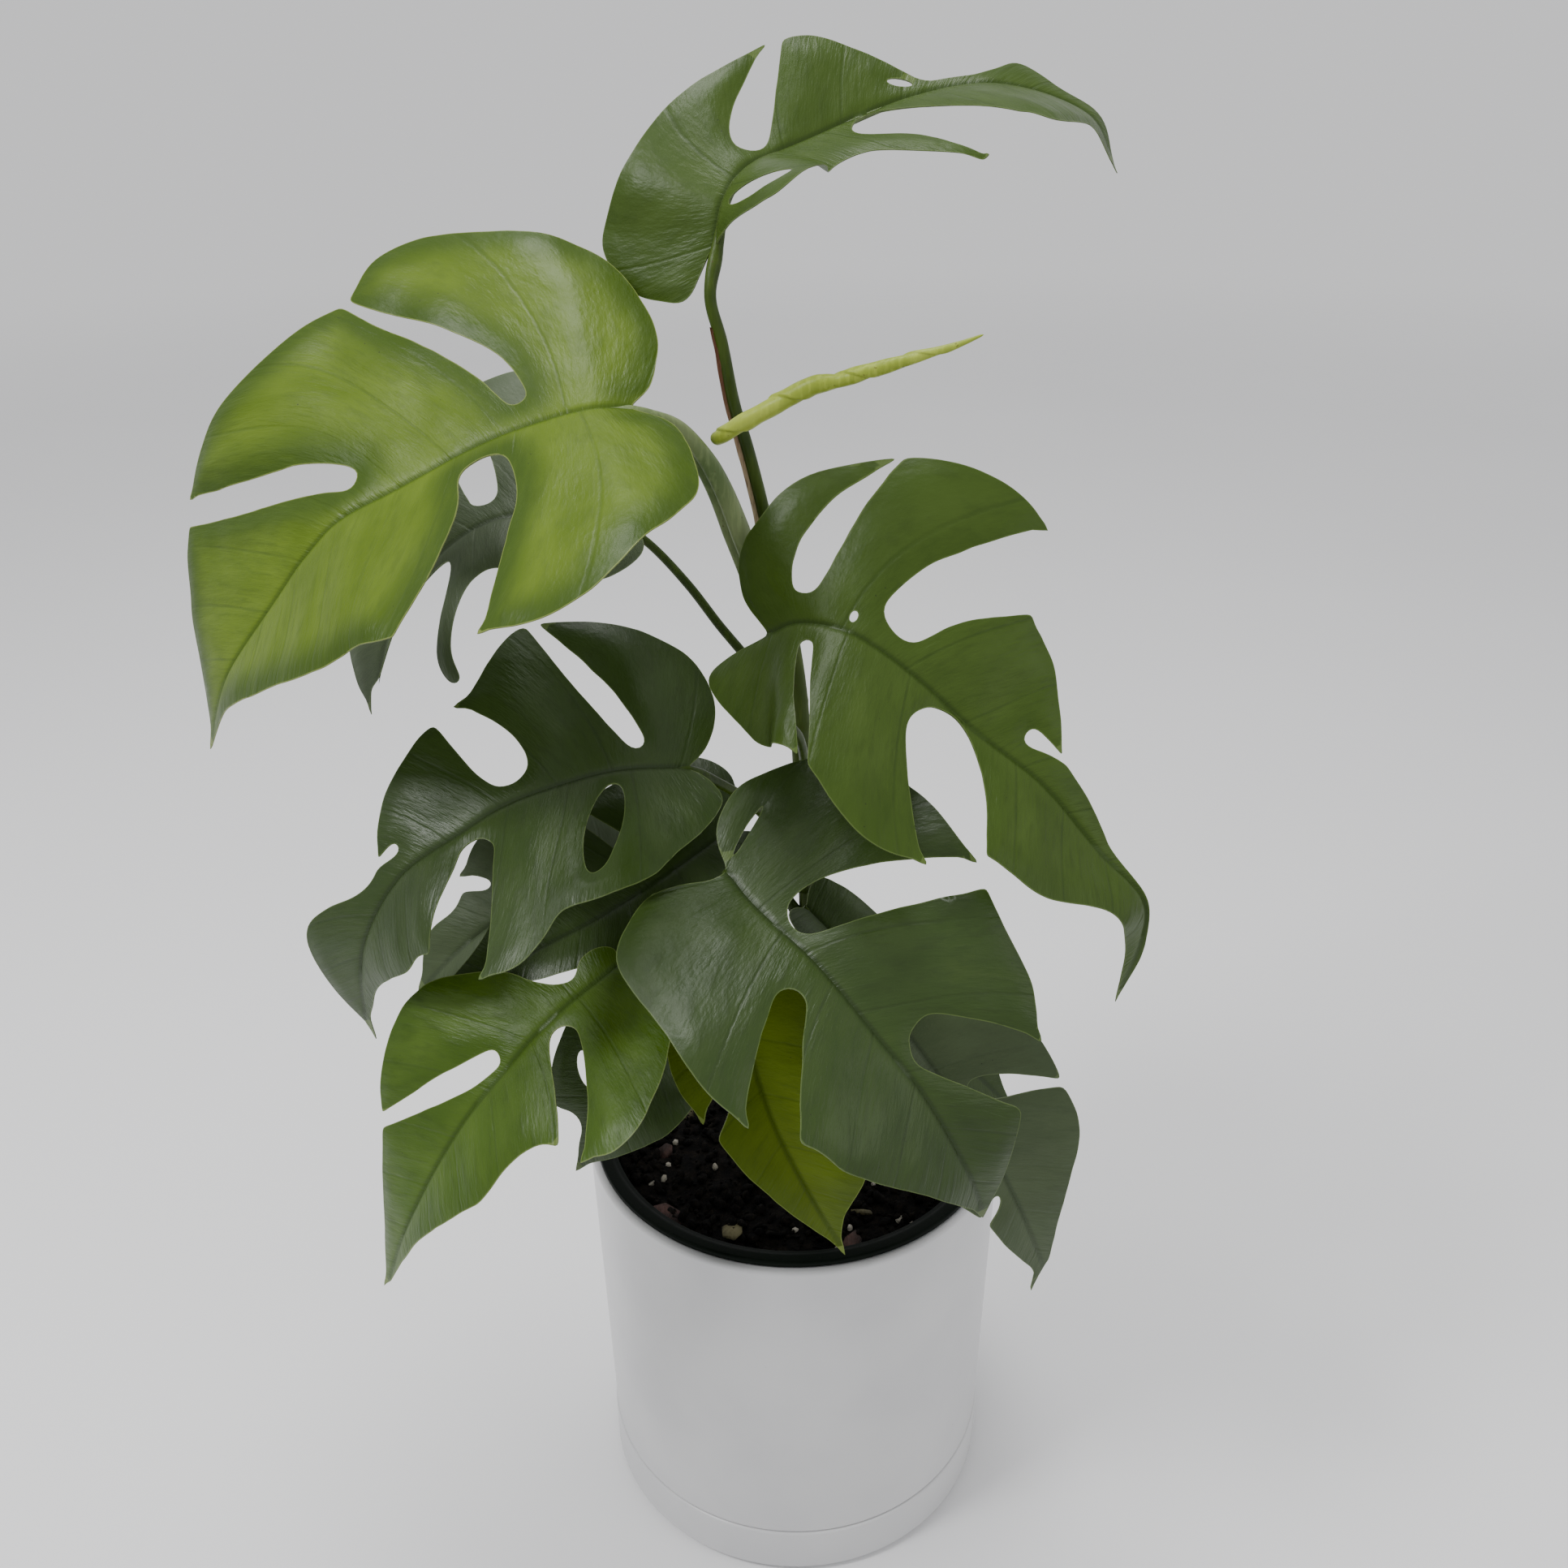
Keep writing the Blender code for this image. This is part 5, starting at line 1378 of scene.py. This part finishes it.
def make_green(name, dark, light, rough=0.42, blush=0.0):
    finish = Finish(name, light, rough, Specular_IOR_Level=0.2)
    where = finish.place()
    long_noise = finish.streaks((1.0, 1.0, 0.12), 700.0, 3.0)
    cloud = finish.noise(where, 45.0, 2.0)
    specks = finish.noise(where, 800.0, 1.0).rise(0.72, 0.78)
    tone = finish.mix(cloud.rise(0.3, 0.7), dark, light)
    tone = finish.mix(long_noise.rise(0.45, 0.7) * 0.35, tone, times(1.35, light))
    tone = finish.mix(specks * 0.6 + cloud.rise(0.62, 0.75) * blush, tone, (0.06, 0.035, 0.012))
    finish.set("Base Color", tone)
    finish.set("Roughness", rough - 0.05 + long_noise * 0.15)
    finish.bump(long_noise * 0.8 + cloud * 0.3, 0.25)
    return finish.material


STALK_GREEN = make_green("stalk_green", (0.018, 0.036, 0.002), (0.04, 0.068, 0.005), 0.4)
STEM_GREEN = make_green("vine_green", (0.032, 0.056, 0.005), (0.066, 0.1, 0.014), 0.5, 0.3)

STEM_RADIUS = 3.6
STALK_RADIUS = 1.6


def stem_place(height):
    """The point of the stem's middle line at a height."""
    line = through(STEM, 2.0)
    return np.array([np.interp(height, line[:, 2], line[:, k]) for k in range(3)])


def make_stem():
    path = through(STEM, 1.5)
    heights = np.array([height for height, _ in STALKS.values()])
    share_z = path[:, 2]

    def radius(share, angle):
        z = np.interp(share, np.linspace(0, 1, len(share_z)), share_z)
        rings = np.exp(-(((z[..., None] - heights) / 1.6) ** 2)).sum(-1)
        scars = np.exp(-(((z[..., None] - heights - 9) / 0.5) ** 2)).sum(-1)
        plain = STEM_RADIUS * (1 - 0.1 * share)
        return plain + 0.55 * np.minimum(rings, 1) + 0.25 * scars + 0.12 * np.cos(3 * angle)

    points, faces = carried(path, radius, 28)
    return new_piece("living_stem", points, faces, "stem", [STEM_GREEN])


def under_rib(rib, more):
    """Points under a midrib: 0.85 mm under it at the tip, and more mm deeper still at the base."""
    share = rib.at / rib.length
    below = rib.path - rib.up * (0.85 + more * (1 - share))[:, None]
    return below[3 : int(0.93 * len(below))]


def stalk_route(name):
    """Points along the stalk and then under the blade's midrib, and the length of the first part."""
    height, bends = STALKS[name]
    rib = RIBS[name]
    root = stem_place(height)
    away = np.asarray(bends[0], float) - root
    if height < STEM[-1][2]:
        away[2] = 0.0
    start = root + unit(away) * (STEM_RADIUS * 0.55)
    near = rib.path[0] - rib.up[0] * 1.9 - 0.5 * rib.along[0]
    first = through([start - (0, 0, 3.0), start, *bends, near], 1.6)
    return np.vstack([first, under_rib(rib, 1.1)]), travelled(first)[-1]


def make_stalk(name):
    path, stalk_length = stalk_route(name)
    whole = travelled(path)[-1]
    thick = SPECIAL_STALKS.get(name, 1.0)

    def radius(share, angle):
        d = share * whole
        clasp = 1.5 * np.exp(-((d / 11) ** 2))
        joint = 0.45 * np.exp(-(((d - stalk_length + 5) / 5) ** 2))
        stalk = STALK_RADIUS * thick * (1.1 - 0.25 * np.clip(d / stalk_length, 0, 1)) + clasp + joint
        under = np.clip((d - stalk_length) / (whole - stalk_length), 0, 1)
        keel = STALK_RADIUS * 0.72 * thick * (1 - under) ** 1.1 + 0.12
        blend = ramp(d, stalk_length - 3, stalk_length + 8)
        groove = 1 - 0.1 * np.exp(-((np.angle(np.exp(1j * (angle - 1.6))) / 0.4) ** 2)) * (1 - blend)
        return (stalk * (1 - blend) + keel * blend) * groove

    points, faces = carried(path, radius, 18, (1.0, 2.0))
    return new_piece("petiole_" + name, points, faces, "stalk_" + name, [STALK_GREEN])


SPECIAL_STALKS = {"top": 1.3, "left": 1.1}
stem = make_stem()
for name in STALKS:
    make_stalk(name)
print("stalks made:", len(STALKS))

# %% [markdown]
# ## The sheath and the new leaf
#
# The stalk of the lime-green leaf is still a wide pale sheath, folded along its length, because the
# new leaf has only just grown out of it. The sheath is a carried profile that is wider than it is
# thick and has a deep groove on the side of the new leaf. The new leaf is one blade rolled round
# itself. Seen from outside, its free edge winds round the roll as a step: the radius is a little
# larger just before the edge than just after it, and the edge's angle grows with the distance.

# %% New growth
NEW_SKIN = make_green("new_growth_green", (0.2, 0.26, 0.025), (0.29, 0.35, 0.05), 0.36)
SHEATH_SKIN = make_green("sheath_green", (0.075, 0.115, 0.038), (0.16, 0.2, 0.085), 0.42)


def make_dry():
    finish = Finish("dry_husk", (0.3, 0.2, 0.12), 0.7)
    where = finish.place()
    height = finish.split(where)[2]
    fibre = finish.streaks((1.0, 1.0, 0.08), 1500.0, 4.0)
    tone = finish.mix(height.rise(0.395, 0.44), (0.42, 0.33, 0.2), (0.17, 0.07, 0.035))
    finish.set("Base Color", finish.mix(fibre.rise(0.45, 0.7) * 0.6, tone, (0.09, 0.035, 0.02)))
    finish.set("Roughness", 0.6 + fibre * 0.3)
    finish.bump(fibre, 0.5)
    return finish.material


def make_sheath():
    rib = RIBS["wide"]
    end = rib.path[0] - rib.up[0] * 2.2
    first = through([*SHEATH, end], 1.2)
    path, length = np.vstack([first, under_rib(rib, 1.45)]), travelled(first)[-1]
    whole = travelled(path)[-1]

    def radius(share, angle):
        d = share * whole
        body = np.interp(d, np.array([0, 0.25, 0.55, 0.8, 1.0]) * length, (4.3, 4.6, 3.9, 2.5, 2.0))
        flat = 1 + 0.16 * np.cos(2 * (angle - 0.5)) * (1 - ramp(d, 0.6 * length, length))
        turn = np.angle(np.exp(1j * (angle - SHEATH_GROOVE)))
        groove = 1 - 0.42 * np.exp(-((turn / 0.3) ** 2)) * (1 - ramp(d, 0.55 * length, 0.85 * length))
        lip = np.exp(-(((np.abs(turn) - 0.55) / 0.2) ** 2))
        lips = 1 + 0.1 * lip * (1 - ramp(d, 0.5 * length, 0.8 * length))
        under = np.clip((d - length) / (whole - length), 0, 1)
        keel = 1.5 * (1 - under) ** 1.1 + 0.12
        blend = ramp(d, length - 3, length + 9)
        return body * flat * groove * lips * (1 - blend) + keel * blend

    points, faces = carried(path, radius, 40, (1.0, 2.0))
    return new_piece("leaf_sheath", points, faces, "sheath", [SHEATH_SKIN])


def make_rolled_leaf():
    path = through(NEW_LEAF, 0.5)

    def radius(share, angle):
        body = np.interp(share, (0, 0.12, 0.3, 0.44, 0.5, 0.56, 0.75, 0.95, 1.0),
                         (2.1, 2.5, 2.75, 2.7, 2.1, 2.3, 1.75, 0.7, 0.25))
        body = body * (1 - 0.03 * np.cos(60 * share))
        step = ((angle - ROLL_START - 2 * np.pi * ROLL_TURNS * share) / (2 * np.pi)) % 1.0
        return body * (0.86 + 0.26 * step * ramp(1.02 - step, 0, 0.05))

    points, faces = carried(path, radius, 64, (1.0, 0.6))
    return new_piece("rolled_leaf", points, faces, "new_leaf", [NEW_SKIN])


def make_husk():
    """A dry strip along the left of the top stalk: a thin ribbon that narrows towards its top."""
    route, length = stalk_route("top")
    path = route[travelled(route) < length]
    path = path[(path[:, 2] > HUSK_FROM) & (path[:, 2] < HUSK_TO)]
    distance = travelled(path)
    share = distance / distance[-1]
    outward, front = np.array([-0.95, -0.3, 0.0]), np.array([0.3, -0.95, 0.0])
    across = np.linspace(-1, 1, 9)
    wide = 1.15 * (1 - share) ** 0.5 + 0.25 + 0.15 * swell(distance, 0 * distance, 5, 61)
    away = 2.5 - 0.3 * share + 0.2 * swell(distance, 9 + 0 * distance, 9, 62)
    side = across * wide[:, None] + away[:, None]
    upper = path[:, None] + side[..., None] * outward + (0.3 + 0.6 * across**2)[None, :, None] * front
    grid = np.concatenate([upper, upper[:, ::-1] - 0.25 * front], 1)
    points, faces = closed_grid(grid)
    return new_piece("dry_husk", points, faces, None, [make_dry()])


HUSK_FROM, HUSK_TO = 371.0, 452.0
SHEATH_GROOVE = 2.4
ROLL_START = 0.4
ROLL_TURNS = 4.2
sheath = make_sheath()
rolled_leaf = make_rolled_leaf()
husk = make_husk()
print("new growth faces:", [len(p.data.polygons) for p in (sheath, rolled_leaf, husk)])

# %% [markdown]
# ## Floor and light
#
# The plant stands on a plain pale floor that runs far back and fades out, so that it has no edge.
# A soft light at the upper left models the leaves, a weaker one fills from the right, and one from
# above gives the waxy upper faces their grey sheen. A small light keeps that sheen in patches, and
# the pale world all round softens the shadows.

# %% Floor and lights
FLOOR_SIZE = 40.0
FLOOR_DROP = 0.0004
FADE = (0.8, 14.0)
WORLD_COLOUR = (0.985, 0.985, 1.0, 1.0)
WORLD_STRENGTH = 0.8
LIGHTS = {
    "key_left": ((-0.8, -0.5, 1.35), (0, 0, 0.3), 0.36, 12.0),
    "fill_right": ((1.1, -0.6, 0.9), (0, 0, 0.25), 0.8, 2.5),
    "overhead": ((-0.1, 0.1, 1.5), (0, 0, 0.3), 0.45, 9.0),
}


def make_floor():
    mesh = bpy.data.meshes.new("floor")
    corners = np.array([(-1, -1), (1, -1), (1, 1), (-1, 1)]) * FLOOR_SIZE / 2
    mesh.from_pydata(np.column_stack([corners, np.full(4, -FLOOR_DROP)]).tolist(), [], [[0, 1, 2, 3]])
    floor = bpy.data.objects.new("floor", mesh)
    bpy.context.scene.collection.objects.link(floor)
    finish = Finish("pale_floor", (0.8, 0.8, 0.8), 0.8, Specular_IOR_Level=0.1)
    where = finish.place()
    x, y, _ = finish.split(where)
    cloud = finish.noise(where, 3.0, 2.0)
    finish.set("Base Color", finish.mix(cloud, (0.78, 0.78, 0.785), (0.82, 0.82, 0.825)))
    finish.set("Alpha", (x * x + y * y).fall(*FADE))
    mesh.materials.append(finish.material)
    return floor


def make_light(name, place, aim, size, watts):
    """A round lamp that faces its aim. A light shines along its own -Z."""
    data = bpy.data.lights.new(name, "AREA")
    data.shape, data.size, data.energy = "DISK", size, watts
    light = bpy.data.objects.new(name, data)
    light.location = place
    light.rotation_euler = (Vector(aim) - Vector(place)).to_track_quat("-Z", "Y").to_euler()
    bpy.context.scene.collection.objects.link(light)
    return light


make_floor()
for name, light in LIGHTS.items():
    make_light(name, *light)
world = bpy.data.worlds.new("studio")
world.use_nodes = True
background = world.node_tree.nodes["Background"]
background.inputs["Color"].default_value = WORLD_COLOUR
background.inputs["Strength"].default_value = WORLD_STRENGTH
bpy.context.scene.world = world
print("lights:", list(LIGHTS))
